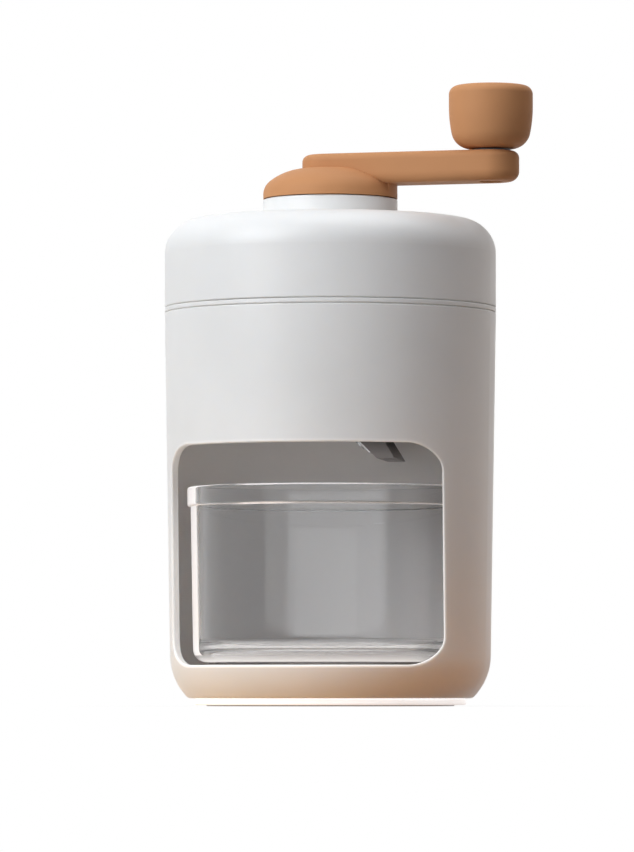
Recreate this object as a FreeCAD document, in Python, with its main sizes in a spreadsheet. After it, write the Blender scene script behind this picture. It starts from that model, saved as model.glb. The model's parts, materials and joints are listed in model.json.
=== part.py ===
import FreeCAD, Part
import os
import re
import Sketcher
from FreeCAD import Vector

# Hand-cranked ice shaver, at full size in millimetres.
#
# The origin is on the housing's axis, at the table. +Z is up, the window faces -Y, and the crank arm
# reaches +X. From the table up: a foot pad and base plate, the housing with its window, the clear cup
# behind the window, the ice hopper that hangs in the housing by its flange and carries the blade, the
# lid, and the crank above it. The crank turns a hexagonal shaft, on which a spring pushes a spiked
# presser down on the ice.

# Driving dimensions: each is one cell of the sheet. Radii and lengths are in millimetres, angles in degrees.
SIZES = {
    # foot
    "pad_inset": 4.2,               # silicone pad under the base plate, inside the plate's edge
    "pad_thickness": 1.2,
    "pad_proud": 0.4,               # how far the pad stands out below the plate
    "plate_setback": 2.2,           # base plate's edge, inside the housing's lower edge
    "plate_thickness": 2.4,
    "plate_round": 0.9,
    "plate_rib_height": 1.5,        # rib that centres the plate in the housing
    "plate_rib_wall": 2.0,
    "plate_boss_radius": 4.4,
    "plate_boss_height": 2.0,
    "base_screw_inset": 11.8,       # from the wall of the hollow under the floor to the screws' circle
    "base_screw_count": 4,
    # housing
    "sill_height": 14.7,            # housing floor, level with the window's sill
    "floor_thickness": 3.0,
    "seam_height": 142.4,           # top edge of the housing
    "shell_top_radius": 60.1,
    "shell_draft": 2.0,             # how much smaller the side is where the belly's curve starts
    "belly_height": 18.6,
    "belly_curve": 22.0,            # radius of the curve below the straight side
    "foot_edge_round": 2.4,
    "shell_wall": 3.4,
    "shell_rim_round": 0.4,
    "foot_wall": 3.6,               # round the hollow under the floor
    "shell_boss_radius": 3.8,
    "jamb_inset": 4.4,              # from the inner wall to each side of the window
    "window_height": 78.8,
    "window_corner": 10.0,
    "window_edge_round": 0.45,
    # cup
    "cup_side_gap": 0.3,            # between the cup's rim and each side of the window
    "cup_forward": 6.0,             # the cup's axis lies this far in front of the housing's
    "cup_lift": 0.3,                # air between the cup's foot and the floor
    "cup_height": 64.0,
    "cup_foot_inset": 0.7,          # foot ring, inside the round of the wall's lower edge
    "cup_foot_height": 0.8,
    "cup_taper": 1.0,               # wall, from its lower edge to the rim band
    "cup_rim_step": 1.2,            # how far the rim band stands out
    "cup_rim_band": 7.0,
    "cup_wall": 2.4,
    "cup_base_thickness": 4.7,
    "corner_relief": 5.2,           # how much smaller the cup's lower round is than the window's corner
    "cup_rim_round": 0.8,
    # ice hopper
    "seam_gap": 0.3,                # between the housing, the hopper's flange and the lid
    "flange_thickness": 1.55,
    "flange_round": 0.3,
    "hopper_side_gap": 0.6,         # between the hopper and the housing, just under the flange
    "hopper_taper": 1.7,
    "hopper_wall": 2.4,
    "hopper_floor_height": 100.5,   # underside of the floor above the table
    "hopper_floor_thickness": 3.0,
    "hopper_round": 2.0,
    "mouth_start": 4.0,             # slot in the floor, measured along the blade from the axis
    "mouth_margin": 6.0,            # from the slot's far end to the hopper's wall
    "mouth_front": 7.0,             # slot, measured across the blade from the axis
    "mouth_back": 7.2,
    # blade and its holder
    "blade_angle": 9.5,             # the blade's line, turned about the axis from +Y
    "blade_tilt": 45.0,
    "blade_end_gap": 1.0,           # between the blade and each end of the slot
    "blade_width": 16.8,
    "blade_thickness": 0.6,
    "blade_bevel": 0.5,
    "blade_edge_offset": 1.7,       # cutting edge, across from the radial line
    "blade_bite": 0.2,              # cutting edge above the hopper's floor
    "holder_shortfall": 4.0,        # how much shorter than the blade the holder is
    "holder_width": 6.6,            # across, behind the blade, at the lower edge
    "holder_flare": 2.9,            # how much wider than that it is at the flange
    "holder_drop": 10.5,            # below the hopper's floor
    "holder_flange_thickness": 3.0,
    "holder_top_gap": 0.3,          # below the floor's upper face and beside the slot
    "blade_screw_radius": 1.5,
    "blade_screw_head_radius": 2.7,
    "blade_screw_head": 1.0,
    "blade_screw_grip": 3.0,        # length inside the holder
    "blade_screw_row": 11.0,        # from the cutting edge
    "blade_screw_end": 8.0,         # from the holder's ends
    "holder_screw_across": 22.0,
    "holder_screw_end": 7.0,        # from the holder's ends
    # common screws
    "screw_radius": 1.4,
    "screw_head_radius": 2.7,
    "screw_head": 1.5,
    "screw_play": 0.2,              # clearance round a screw's shank
    "base_screw_length": 7.0,
    "lid_screw_length": 8.0,
    "head_play": 0.4,               # clearance round a screw's head
    # lid
    "lid_height": 31.9,
    "lid_shoulder": 12.5,
    "lid_wall": 2.8,
    "collar_radius": 24.4,
    "collar_height": 7.3,
    "collar_round": 0.6,
    "bush_boss_wall": 1.0,          # round the seat of the bush's flange
    "lid_boss_radius": 3.8,
    "lid_screw_count": 3,
    "liner_gap": 0.9,               # between the liner's skirt and the hopper
    "liner_wall": 2.2,
    "liner_rise": 13.45,            # liner plate above the lid's lower edge
    "liner_reach": 4.55,            # skirt below the lid's lower edge
    "liner_hole_gap": 1.0,          # round the shaft's clip
    "seal_offset": 1.2,             # seal above the skirt's lower edge
    "seal_height": 2.4,
    "seal_depth": 1.0,
    "seal_gap": 0.3,                # between the seal and the hopper
    # shaft and its bearing
    "journal_radius": 5.5,
    "running_gap": 0.06,
    "fixed_gap": 0.05,              # between pieces that sit tight in each other
    "bush_wall": 2.9,
    "bush_length": 20.0,
    "bush_flange_reach": 2.5,
    "bush_flange_thickness": 2.0,
    "bush_flange_play": 0.1,
    "hex_step": 0.3,                # from the journal to the corners of the shaft's hexagon
    "hex_play": 0.3,                # the presser's hole is this much wider
    "thrust_washer_thickness": 1.0,
    "clip_reach": 3.1,              # clip, beyond the journal
    "clip_thickness": 1.0,
    "clip_groove": 0.8,
    "clip_gap": 0.3,
    "seat_margin": 2.0,             # spring seat, beyond the spring
    "seat_thickness": 1.8,
    "seat_drop": 1.0,               # spring seat below the liner plate
    # crank
    "hub_gap": 0.3,
    "hub_height": 10.9,
    "hub_side": 1.6,                # upright side below the shoulder's arc
    "hub_round": 6.0,               # shoulder's arc
    "hub_level_radius": 9.0,        # level middle inside the crown's arc
    "hub_skirt_wall": 3.6,
    "hub_hollow": 4.0,
    "hub_core_wall": 1.4,           # round the thrust washer's seat
    "arm_rise": 4.8,                # arm's underside above the hub's lower edge
    "arm_thickness": 11.1,
    "arm_half_width": 10.2,
    "arm_reach": 60.4,
    "arm_top_round": 2.6,
    "arm_bottom_round": 3.7,
    "arm_root_inset": 4.7,          # how much narrower on each side the arm's root is
    "hub_screw_radius": 2.4,
    "hub_screw_head_radius": 4.6,
    "hub_screw_head": 2.8,
    "hub_screw_length": 12.0,
    "hub_screw_land": 2.2,
    "cap_margin": 0.7,              # cap, beyond the screw's head
    "cap_thickness": 1.6,
    "cap_gap": 0.2,                 # between the cap and the screw's head
    # knob
    "knob_washer_setback": 0.4,     # washer, inside the knob's foot
    "knob_washer_thickness": 0.5,
    "knob_play": 0.3,
    "knob_radius": 15.15,
    "knob_height": 22.8,
    "knob_foot_curve": 6.9,
    "knob_swell": 0.85,             # full radius, beyond the foot's flat and its curve
    "knob_side_height": 15.1,       # where the side reaches its full radius
    "knob_top_round": 3.2,
    "pin_radius": 3.5,
    "pin_play": 0.08,
    "pin_thread_radius": 2.4,
    "pin_head_radius": 5.6,
    "pin_head": 2.8,
    "pin_head_play": 0.6,
    "pin_cap_gap": 1.8,             # between the pin's head and the knob's cap
    "knob_cap_seat": 2.8,           # width of the ledge that the cap lies on
    "knob_cap_thickness": 3.6,
    "nut_flats": 8.0,
    "nut_height": 4.0,
    "nut_depth": 1.2,               # how deep in the arm's underside the nut sits
    # presser
    "spike_clearance": 1.0,         # spikes above the hopper's floor
    "spike_length": 5.5,
    "spike_width": 9.0,
    "spike_plate_thickness": 1.0,
    "spike_plate_setback": 2.0,     # spike plate, inside the presser's edge
    "spike_margin": 3.5,            # between the teeth and the plate's edges
    "spike_count": 8,
    "spike_hole_radius": 12.0,
    "spike_screw_count": 3,
    "spike_screw_length": 6.0,
    "presser_side_gap": 3.6,        # between the presser and the liner's skirt
    "presser_deck": 3.2,
    "presser_rim_height": 5.0,
    "presser_rim_wall": 2.2,
    "presser_hub_wall": 2.7,
    "presser_hub_height": 11.0,
    "presser_boss_radius": 3.6,
    "presser_boss_roof": 0.5,       # above the screw's end
    "stop_gap": 0.3,
    "stop_height": 4.5,
    "stop_flats": 13.0,
    "stop_thread_step": 0.6,        # thread, inside the hexagon's flats
    "spring_hub_gap": 1.65,         # between the spring and the presser's hub
    "spring_wire": 1.1,             # wire diameter
    "spring_turns": 7,
    "spring_gap": 0.2,
}

# Places that follow from the sizes. Heights are above the table unless the name says otherwise.
PLACES = {
    "plate_top": "pad_proud + plate_thickness",
    "floor_underside": "sill_height - floor_thickness",
    "shell_low_radius": "shell_top_radius - shell_draft",
    "foot_edge_radius": "shell_low_radius - belly_curve + sqrt(belly_curve^2 - (belly_height - plate_top)^2)",
    "base_cavity_radius": "foot_edge_radius - foot_wall",
    "base_screw_circle": "base_cavity_radius - base_screw_inset",
    "plate_radius": "foot_edge_radius - plate_setback",
    "pad_radius": "plate_radius - pad_inset",
    "inner_low_radius": "shell_low_radius - shell_wall",
    "inner_top_radius": "shell_top_radius - shell_wall",
    "cup_bottom": "sill_height + cup_lift",
    "window_half_width": "inner_low_radius - jamb_inset",
    "cup_rim_radius": "window_half_width - cup_side_gap",
    "cup_step_radius": "cup_rim_radius - cup_rim_step",
    "cup_base_radius": "cup_step_radius - cup_taper",
    "cup_base_round": "window_corner - corner_relief",
    "cup_foot_radius": "cup_base_radius - cup_base_round - cup_foot_inset",
    "flange_underside": "seam_height + seam_gap",
    "flange_top": "flange_underside + flange_thickness",
    "flange_rise": "flange_underside - hopper_floor_height",
    "hopper_rise": "flange_top - hopper_floor_height",
    "hopper_top_radius": "inner_top_radius - hopper_side_gap",
    "hopper_low_radius": "hopper_top_radius - hopper_taper",
    "hopper_inner_top": "hopper_top_radius - hopper_wall",
    "hopper_inner_low": "hopper_low_radius - hopper_wall",
    "mouth_end": "hopper_inner_low - mouth_margin",
    "blade_start": "mouth_start + blade_end_gap",
    "blade_length": "mouth_end - mouth_start - 2 * blade_end_gap",
    "holder_length": "blade_length - holder_shortfall",
    "blade_tip_rise": "hopper_floor_thickness + blade_bite",
    "blade_back_offset": "blade_edge_offset + blade_thickness / sin(blade_tilt)",
    "holder_top_rise": "hopper_floor_thickness - holder_top_gap",
    "lid_bottom": "flange_top + seam_gap",
    "lid_top": "lid_bottom + lid_height",
    "collar_top": "lid_top + collar_height",
    "liner_radius": "hopper_inner_top - liner_gap",
    "liner_inner_radius": "liner_radius - liner_wall",
    "liner_hole_radius": "clip_radius + liner_hole_gap",
    "lid_screw_circle": "(collar_radius + liner_inner_radius) / 2",
    "liner_bottom": "lid_bottom - liner_reach",
    "liner_plate_rise": "liner_reach + liner_rise",
    "liner_plate_underside": "lid_bottom + liner_rise",
    "bush_radius": "journal_radius + running_gap + bush_wall",
    "bush_flange_radius": "bush_radius + bush_flange_reach",
    "bush_boss_radius": "bush_flange_radius + bush_boss_wall",
    "bush_top": "collar_top - bush_flange_play",
    "bush_bottom": "bush_top - bush_length",
    "clip_radius": "journal_radius + clip_reach",
    "clip_bottom": "bush_bottom - clip_gap - clip_thickness",
    "hex_flats": "sqrt(3) * (journal_radius - hex_step)",
    "seat_top": "liner_plate_underside - seat_drop",
    "seat_bottom": "seat_top - seat_thickness",
    "seat_radius": "spring_radius + spring_wire / 2 + seat_margin",
    "hub_bottom": "collar_top + hub_gap",
    "hub_core_radius": "bush_flange_radius + hub_core_wall",
    "crown_reach": "collar_radius - hub_round - hub_level_radius",
    "crown_rise": "hub_height - hub_side",
    "crown_radius": "(crown_reach^2 + crown_rise^2 - hub_round^2) / (2 * (crown_rise - hub_round))",
    "arm_top_rise": "arm_rise + arm_thickness",
    "arm_top": "hub_bottom + arm_top_rise",
    "arm_root_half_width": "arm_half_width - arm_root_inset",
    "cap_radius": "hub_screw_head_radius + cap_margin",
    "hub_screw_seat": "arm_top_rise - cap_thickness - cap_gap - hub_screw_head",
    "shaft_socket_depth": "hub_screw_seat - hub_screw_land",
    "knob_washer_top": "arm_top + knob_washer_thickness",
    "knob_bottom": "knob_washer_top + knob_play",
    "knob_foot_radius": "knob_radius - knob_swell - knob_foot_curve",
    "knob_side_rise": "knob_side_height - knob_foot_curve",
    "knob_side_curve": "((knob_foot_curve + knob_swell)^2 + knob_side_rise^2 - knob_foot_curve^2)"
                       " / (2 * knob_swell)",
    "knob_curve_share": "knob_foot_curve / (knob_side_curve - knob_foot_curve)",
    "knob_washer_radius": "knob_foot_radius - knob_washer_setback",
    "knob_well_radius": "pin_head_radius + pin_head_play",
    "knob_cap_radius": "knob_well_radius + knob_cap_seat",
    "pin_ledge": "knob_height - knob_cap_thickness - pin_cap_gap - pin_head",
    "pin_shoulder": "2 * knob_play + pin_ledge",
    "spike_tip": "hopper_floor_height + hopper_floor_thickness + spike_clearance",
    "spike_plate_bottom": "spike_tip + spike_length",
    "presser_bottom": "spike_plate_bottom + spike_plate_thickness",
    "presser_radius": "liner_inner_radius - presser_side_gap",
    "presser_hub_radius": "journal_radius + presser_hub_wall",
    "presser_boss_height": "spike_screw_length + presser_boss_roof",
    "spike_plate_radius": "presser_radius - spike_plate_setback",
    "spike_outer_circle": "spike_plate_radius - spike_margin - spike_width / 2",
    "spike_inner_circle": "spike_hole_radius + spike_margin + spike_width / 2",
    "spike_screw_circle": "(spike_outer_circle + spike_inner_circle) / 2",
    "stop_top": "presser_bottom - stop_gap",
    "stop_bottom": "stop_top - stop_height",
    "stop_thread_radius": "hex_flats / 2 - stop_thread_step",
    "spring_radius": "presser_hub_radius + spring_hub_gap + spring_wire / 2",
    "spring_bottom": "presser_bottom + presser_deck + spring_gap + spring_wire / 2",
    "spring_top": "seat_bottom - spring_gap - spring_wire / 2",
}

LEFT, RIGHT = 1, -1             # which way an arc of an outline turns
TOUCH = 0.01                    # how near two places are when they count as the same

document = FreeCAD.newDocument("ice_shaver")
sheet = document.addObject("Spreadsheet::Sheet", "sizes")
for row, (alias, value) in enumerate(SIZES.items(), 1):
    sheet.set(f"A{row}", alias)
    sheet.set(f"B{row}", str(value))
    sheet.setAlias(f"B{row}", alias)
document.recompute()


def formula(text):
    """Turn names of sizes into cells of the sheet, and names of places into the formulas behind them."""
    def swap(match):
        word = match.group(0)
        if word in PLACES:
            return "(" + formula(PLACES[word]) + ")"
        return "sizes." + word if word in SIZES else word
    return re.sub(r"[A-Za-z_]\w*", swap, str(text))


def measure(text):
    """The number that a formula gives with the present sizes."""
    result = sheet.evalExpression(formula(text))
    return float(getattr(result, "Value", result))


def bind(thing, **properties):
    """Tie each property to a formula, and work the document out again."""
    for name, text in properties.items():
        thing.setExpression(name.replace("__", "."), formula(text))


def origin_of(body, role):
    return next(feature for feature in body.Origin.OriginFeatures if feature.Role == role)


def start_body(label, x="0", y="0", z="0", turn="0", tilt=None, reach="0", rise="0"):
    """A body at (x, y, z), turned about Z; with a tilt, then moved by reach and rise and tilted about Y."""
    body = document.addObject("PartDesign::Body", label)
    body.AllowCompound = True
    place = f"placement(vector({x}; {y}; {z}); rotation(vector(0; 0; 1); {turn}))"
    if tilt:
        place += f" * placement(vector({reach}; 0; {rise}); rotation(vector(0; 1; 0); {tilt}))"
    bind(body, Placement=place)
    return body


def new_sketch(body, plane, height):
    sketch = body.newObject("Sketcher::SketchObject", body.Label + "_sketch")
    sketch.AttachmentSupport = [(origin_of(body, plane), "")]
    sketch.MapMode = "FlatFace"
    bind(sketch, AttachmentOffset__Base__z=height)
    return sketch


def fix_point(sketch, edge, point, x, y):
    for kind, text in (("DistanceX", x), ("DistanceY", y)):
        number = sketch.addConstraint(Sketcher.Constraint(kind, -1, 1, edge, point, measure(text)))
        sketch.setExpression(f"Constraints[{number}]", formula(text))


def fix_radius(sketch, edge, radius):
    number = sketch.addConstraint(Sketcher.Constraint("Radius", edge, measure(radius)))
    sketch.setExpression(f"Constraints[{number}]", formula(radius))


def arc_between(start, end, radius, turn):
    """The shorter arc from start to end, with its centre on the left or right of the way there."""
    chord = end - start
    normal = Vector(-chord.y, chord.x, 0).normalize() * turn
    centre = (start + end) / 2 + normal * max(radius ** 2 - chord.Length ** 2 / 4, 0) ** 0.5
    circle = Part.Circle(centre, Vector(0, 0, 1), radius)
    first, last = (start, end) if turn == LEFT else (end, start)
    return Part.ArcOfCircle(circle, circle.parameter(first), circle.parameter(last))


def outline(body, corners, plane="XZ_Plane", height="0"):
    """A closed sketch through corners (x, y). An arc leads on from a corner (x, y, turn, radius)."""
    sketch = new_sketch(body, plane, height)
    points = [Vector(measure(corner[0]), measure(corner[1]), 0) for corner in corners]
    ends = []
    for number, corner in enumerate(corners):
        start, end = points[number], points[(number + 1) % len(points)]
        if len(corner) == 2:
            sketch.addGeometry(Part.LineSegment(start, end), False)
        else:
            sketch.addGeometry(arc_between(start, end, measure(corner[3]), corner[2]), False)
        ends.append((2, 1) if corner[2:3] == (RIGHT,) else (1, 2))
    for number, corner in enumerate(corners):
        following = (number + 1) % len(corners)
        sketch.addConstraint(
            Sketcher.Constraint("Coincident", number, ends[number][1], following, ends[following][0]))
        fix_point(sketch, number, ends[number][0], corner[0], corner[1])
        if len(corner) == 4:
            fix_radius(sketch, number, corner[3])
    return sketch


def circles(body, radii, centres=(("0", "0"),), plane="XY_Plane", height="0"):
    """A sketch of circles: every radius at every centre."""
    sketch = new_sketch(body, plane, height)
    for x, y in centres:
        for radius in radii:
            centre = Vector(measure(x), measure(y), 0)
            number = sketch.addGeometry(Part.Circle(centre, Vector(0, 0, 1), measure(radius)), False)
            fix_point(sketch, number, 3, x, y)
            fix_radius(sketch, number, radius)
    return sketch


def rounded_box(left, right, low, high, corner):
    """Corners of an outline for a rectangle whose corners are quarter circles."""
    return [(f"{left} + {corner}", low), (f"{right} - {corner}", low, LEFT, corner),
            (right, f"{low} + {corner}"), (right, f"{high} - {corner}", LEFT, corner),
            (f"{right} - {corner}", high), (f"{left} + {corner}", high, LEFT, corner),
            (left, f"{high} - {corner}"), (left, f"{low} + {corner}", LEFT, corner)]


def hexagon(flats):
    """Corners of a hexagon that is the given size across its flats, with two flats facing +Y and -Y."""
    reach = f"{flats} / sqrt(3)"
    return [(f"{reach} * cos({turn})", f"{reach} * sin({turn})") for turn in range(0, 360, 60)]


def make_feature(body, kind, profile, grows, **settings):
    """Add a feature to the body and make sure that it adds or takes away material."""
    before = body.Shape.Volume if body.Tip else 0.0
    feature = body.newObject("PartDesign::" + kind, body.Label + "_" + kind.lower())
    feature.Profile = profile
    for name, setting in settings.items():
        if isinstance(setting, str) and name != "Type":
            bind(feature, **{name: setting})
        else:
            setattr(feature, name, setting)
    document.recompute()
    after = body.Shape.Volume
    if (after <= before) if grows else (after >= before):
        raise ValueError(f"{feature.Name} does not change {body.Label} as it should")
    return feature


def revolve(body, corners):
    sketch = outline(body, corners)
    return make_feature(body, "Revolution", sketch, True, ReferenceAxis=(sketch, ["V_Axis"]), Angle=360)


def pad(body, sketch, length, **settings):
    return make_feature(body, "Pad", sketch, True, Length=length, **settings)


def pocket(body, sketch, depth=None, **settings):
    """Cut along the sketch's axis, or right through it both ways if no depth is given."""
    if depth is None:
        return make_feature(body, "Pocket", sketch, False, Type="ThroughAll", Midplane=True, **settings)
    return make_feature(body, "Pocket", sketch, False, Length=depth, **settings)


def polar_pattern(body, features, count):
    pattern = body.newObject("PartDesign::PolarPattern", body.Label + "_pattern")
    pattern.Originals = features
    pattern.Axis = (origin_of(body, "Z_Axis"), [""])
    pattern.Angle = 360
    bind(pattern, Occurrences=count)
    body.Tip = pattern
    document.recompute()
    return pattern


def round_edges(body, radius, wanted):
    """Fillet the edges of the body for which wanted(edge) is true."""
    base = body.Tip
    names = [f"Edge{number}" for number, edge in enumerate(base.Shape.Edges, 1) if wanted(edge)]
    if not names:
        raise ValueError(f"{body.Label} has no such edge to round")
    fillet = body.newObject("PartDesign::Fillet", body.Label + "_fillet")
    fillet.Base = (base, names)
    bind(fillet, Radius=radius)
    document.recompute()
    return fillet


def ring(radius, height):
    """A test for circular edges about the Z axis, of this radius and at this height."""
    wanted_radius, wanted_height = measure(radius), measure(height)

    def test(edge):
        if not isinstance(edge.Curve, Part.Circle):
            return False
        centre, radius = edge.Curve.Center, edge.Curve.Radius
        same_place = (centre - Vector(0, 0, wanted_height)).Length < TOUCH
        return same_place and abs(radius - wanted_radius) < TOUCH
    return test


def any_of(*tests):
    return lambda edge: any(test(edge) for test in tests)


def tube(body, outer, inner, length, height="0"):
    """A plain tube or washer about the body's Z axis."""
    return pad(body, circles(body, [outer, inner], height=height), length)


# ---- foot ----

def make_foot_pad():
    body = start_body("foot_pad")
    pad(body, circles(body, ["pad_radius"]), "pad_thickness")
    return body


def make_base_plate():
    """A disc with a recess for the pad, a centring rib, and a sunk seat for each screw."""
    body = start_body("base_plate", z="pad_proud")
    recess = "pad_thickness - pad_proud"
    rib = "base_cavity_radius - screw_play"
    revolve(body, [("0", recess), ("pad_radius + fixed_gap", recess), ("pad_radius + fixed_gap", "0"),
                   ("plate_radius", "0"), ("plate_radius", "plate_thickness"), (rib, "plate_thickness"),
                   (rib, "plate_thickness + plate_rib_height"),
                   (f"{rib} - plate_rib_wall", "plate_thickness + plate_rib_height"),
                   (f"{rib} - plate_rib_wall", "plate_thickness"), ("0", "plate_thickness")])
    edges = any_of(ring("plate_radius", "0"), ring("plate_radius", "plate_thickness"))
    round_edges(body, "plate_round", edges)
    spot = [("base_screw_circle", "0")]
    boss = pad(body, circles(body, ["plate_boss_radius"], spot, height="plate_thickness"),
               "plate_boss_height")
    seat = pocket(body, circles(body, ["screw_head_radius + head_play"], spot),
                  "plate_thickness", Reversed=True)
    hole = pocket(body, circles(body, ["screw_radius + screw_play"], spot))
    polar_pattern(body, [boss, seat, hole], "base_screw_count")
    return body


def make_screws(label, circle, count, length, **place):
    """Screws on a circle, with their heads below the plane of the body and their shanks above it."""
    body = start_body(label, **place)
    spot = [(circle, "0")]
    head = pad(body, circles(body, ["screw_head_radius"], spot, height="-screw_head"), "screw_head")
    shank = pad(body, circles(body, ["screw_radius"], spot), length)
    drive = pocket(body, circles(body, ["screw_radius"], spot, height="-screw_head"),
                   "screw_head / 2", Reversed=True)
    polar_pattern(body, [head, shank, drive], count)
    return body


# ---- housing and cup ----

def make_body_shell():
    """One moulding: a side with draft, a curved belly, a floor, and the window cut through the front."""
    body = start_body("body_shell")
    revolve(body, [("0", "floor_underside"), ("base_cavity_radius", "floor_underside"),
                   ("base_cavity_radius", "plate_top"),
                   ("foot_edge_radius", "plate_top", LEFT, "belly_curve"),
                   ("shell_low_radius", "belly_height"), ("shell_top_radius", "seam_height"),
                   ("inner_top_radius", "seam_height"), ("inner_low_radius", "sill_height"),
                   ("0", "sill_height")])
    round_edges(body, "foot_edge_round", ring("foot_edge_radius", "plate_top"))
    round_edges(body, "shell_rim_round", ring("shell_top_radius", "seam_height"))
    window = rounded_box("-window_half_width", "window_half_width", "sill_height",
                         "sill_height + window_height", "window_corner")
    pocket(body, outline(body, window), "2 * shell_top_radius", Reversed=True)
    round_edges(body, "window_edge_round", is_window_edge)
    spot = [("base_screw_circle", "0")]
    boss_bottom = "plate_top + plate_boss_height"
    boss = pad(body, circles(body, ["shell_boss_radius"], spot, height=boss_bottom),
               f"floor_underside - ({boss_bottom})")
    bore = pocket(body, circles(body, ["screw_radius + fixed_gap"], spot, height=boss_bottom),
                  "base_screw_length + screw_play", Reversed=True)
    polar_pattern(body, [boss, bore], "base_screw_count")
    return body


def is_window_edge(edge):
    """True for the edges where the window's cut meets the outside of the housing."""
    middle = edge.valueAt((edge.FirstParameter + edge.LastParameter) / 2)
    in_cut = abs(middle.x) < measure("window_half_width") + TOUCH and middle.y < 0
    in_height = measure("sill_height") - TOUCH < middle.z < measure("sill_height + window_height") + TOUCH
    outside = (middle.x ** 2 + middle.y ** 2) ** 0.5 > measure("inner_top_radius") + TOUCH
    across = edge.BoundBox.XLength + edge.BoundBox.ZLength > measure("shell_wall")
    return in_cut and in_height and outside and across


def make_cup():
    """A round clear cup with a foot ring, a tapered wall and a band at its rim."""
    body = start_body("cup", y="-cup_forward", z="cup_bottom")
    step = "cup_height - cup_rim_band"
    revolve(body, [("0", "cup_foot_height"), ("cup_foot_radius - cup_wall", "cup_foot_height"),
                   ("cup_foot_radius - cup_wall", "0"), ("cup_foot_radius", "0"),
                   ("cup_foot_radius", "cup_foot_height"), ("cup_base_radius", "cup_foot_height"),
                   ("cup_step_radius", step), ("cup_rim_radius", step), ("cup_rim_radius", "cup_height"),
                   ("cup_step_radius - cup_wall", "cup_height"),
                   ("cup_base_radius - cup_wall", "cup_base_thickness"), ("0", "cup_base_thickness")])
    round_edges(body, "cup_base_round", any_of(ring("cup_base_radius", "cup_foot_height"),
                                               ring("cup_base_radius - cup_wall", "cup_base_thickness")))
    round_edges(body, "cup_rim_round", any_of(ring("cup_rim_radius", "cup_height"),
                                              ring("cup_rim_radius", step),
                                              ring("cup_step_radius - cup_wall", "cup_height")))
    return body


# ---- ice hopper and blade ----

def make_ice_hopper():
    """A drop-in bucket: its flange shows as a thin ring in the seam, and its floor has the blade's slot."""
    body = start_body("ice_hopper", z="hopper_floor_height", turn="blade_angle")
    revolve(body, [("0", "0"), ("hopper_low_radius", "0"), ("hopper_top_radius", "flange_rise"),
                   ("shell_top_radius", "flange_rise"), ("shell_top_radius", "hopper_rise"),
                   ("hopper_inner_top", "hopper_rise"), ("hopper_inner_low", "hopper_floor_thickness"),
                   ("0", "hopper_floor_thickness")])
    round_edges(body, "hopper_round", any_of(ring("hopper_low_radius", "0"),
                                             ring("hopper_inner_low", "hopper_floor_thickness")))
    round_edges(body, "flange_round", any_of(ring("shell_top_radius", "flange_rise"),
                                             ring("shell_top_radius", "hopper_rise")))
    mouth = [("-mouth_front", "mouth_start"), ("mouth_back", "mouth_start"),
             ("mouth_back", "mouth_end"), ("-mouth_front", "mouth_end")]
    pocket(body, outline(body, mouth, "XY_Plane"), "hopper_floor_thickness", Reversed=True)
    pocket(body, circles(body, ["screw_radius + screw_play"], holder_screw_spots()),
           "hopper_floor_thickness", Reversed=True)
    seats = circles(body, ["screw_head_radius + head_play"], holder_screw_spots(),
                    height="hopper_floor_thickness")
    pocket(body, seats, "screw_head")
    return body


def holder_screw_spots():
    return [("holder_screw_across", "blade_start + holder_screw_end"),
            ("holder_screw_across", "blade_start + holder_length - holder_screw_end")]


def make_blade_holder():
    """A sloping block behind the blade, with a flange that is screwed to the hopper's floor from above."""
    body = start_body("blade_holder", z="hopper_floor_height", turn="blade_angle")

    def behind_blade(height):
        return f"blade_back_offset + (blade_tip_rise - ({height})) / tan(blade_tilt)"
    slot_side = "mouth_back - holder_top_gap"
    flange_edge = "holder_screw_across + 2 * screw_head_radius"
    profile = [(behind_blade("-holder_drop"), "-holder_drop"),
               (behind_blade("-holder_drop") + " + holder_width", "-holder_drop"),
               (behind_blade("-holder_flange_thickness") + " + holder_width + holder_flare",
                "-holder_flange_thickness"),
               (flange_edge, "-holder_flange_thickness"), (flange_edge, "0"), (slot_side, "0"),
               (slot_side, "holder_top_rise"), (behind_blade("holder_top_rise"), "holder_top_rise")]
    pad(body, outline(body, profile, height="-blade_start"), "holder_length", Reversed=True)
    pocket(body, circles(body, ["screw_radius + fixed_gap"], holder_screw_spots(), height="0"),
           "holder_flange_thickness")
    for spot in blade_screw_spots():
        bore = body.newObject("PartDesign::SubtractiveCylinder", "blade_holder_bore")
        bore.AttachmentSupport = [(origin_of(body, "XY_Plane"), "")]
        bore.MapMode = "FlatFace"
        bind(bore, Radius="blade_screw_radius + fixed_gap", Height="2 * blade_screw_grip", AttachmentOffset=(
            f"placement(vector(blade_edge_offset; 0; blade_tip_rise); rotation(vector(0; 1; 0); blade_tilt))"
            f" * placement(vector({spot[0]}; {spot[1]}; 0); rotation(vector(0; 0; 1); 0))"))
        document.recompute()
    return body


def start_blade_body(label):
    """A body whose plane is the blade's lower face, with the cutting edge along its Y axis."""
    return start_body(label, z="hopper_floor_height", turn="blade_angle",
                      tilt="blade_tilt", reach="blade_edge_offset", rise="blade_tip_rise")


def blade_screw_spots():
    return [("blade_screw_row", "blade_start + blade_screw_end"),
            ("blade_screw_row", "blade_start + holder_length - blade_screw_end")]


def make_blade():
    """A flat steel blade with a ground edge."""
    body = start_blade_body("blade")
    profile = [("0", "0"), ("blade_width", "0"), ("blade_width", "blade_thickness"),
               ("blade_bevel", "blade_thickness")]
    pad(body, outline(body, profile, height="-blade_start"), "blade_length", Reversed=True)
    pocket(body, circles(body, ["blade_screw_radius + screw_play"], blade_screw_spots()))
    return body


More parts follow.
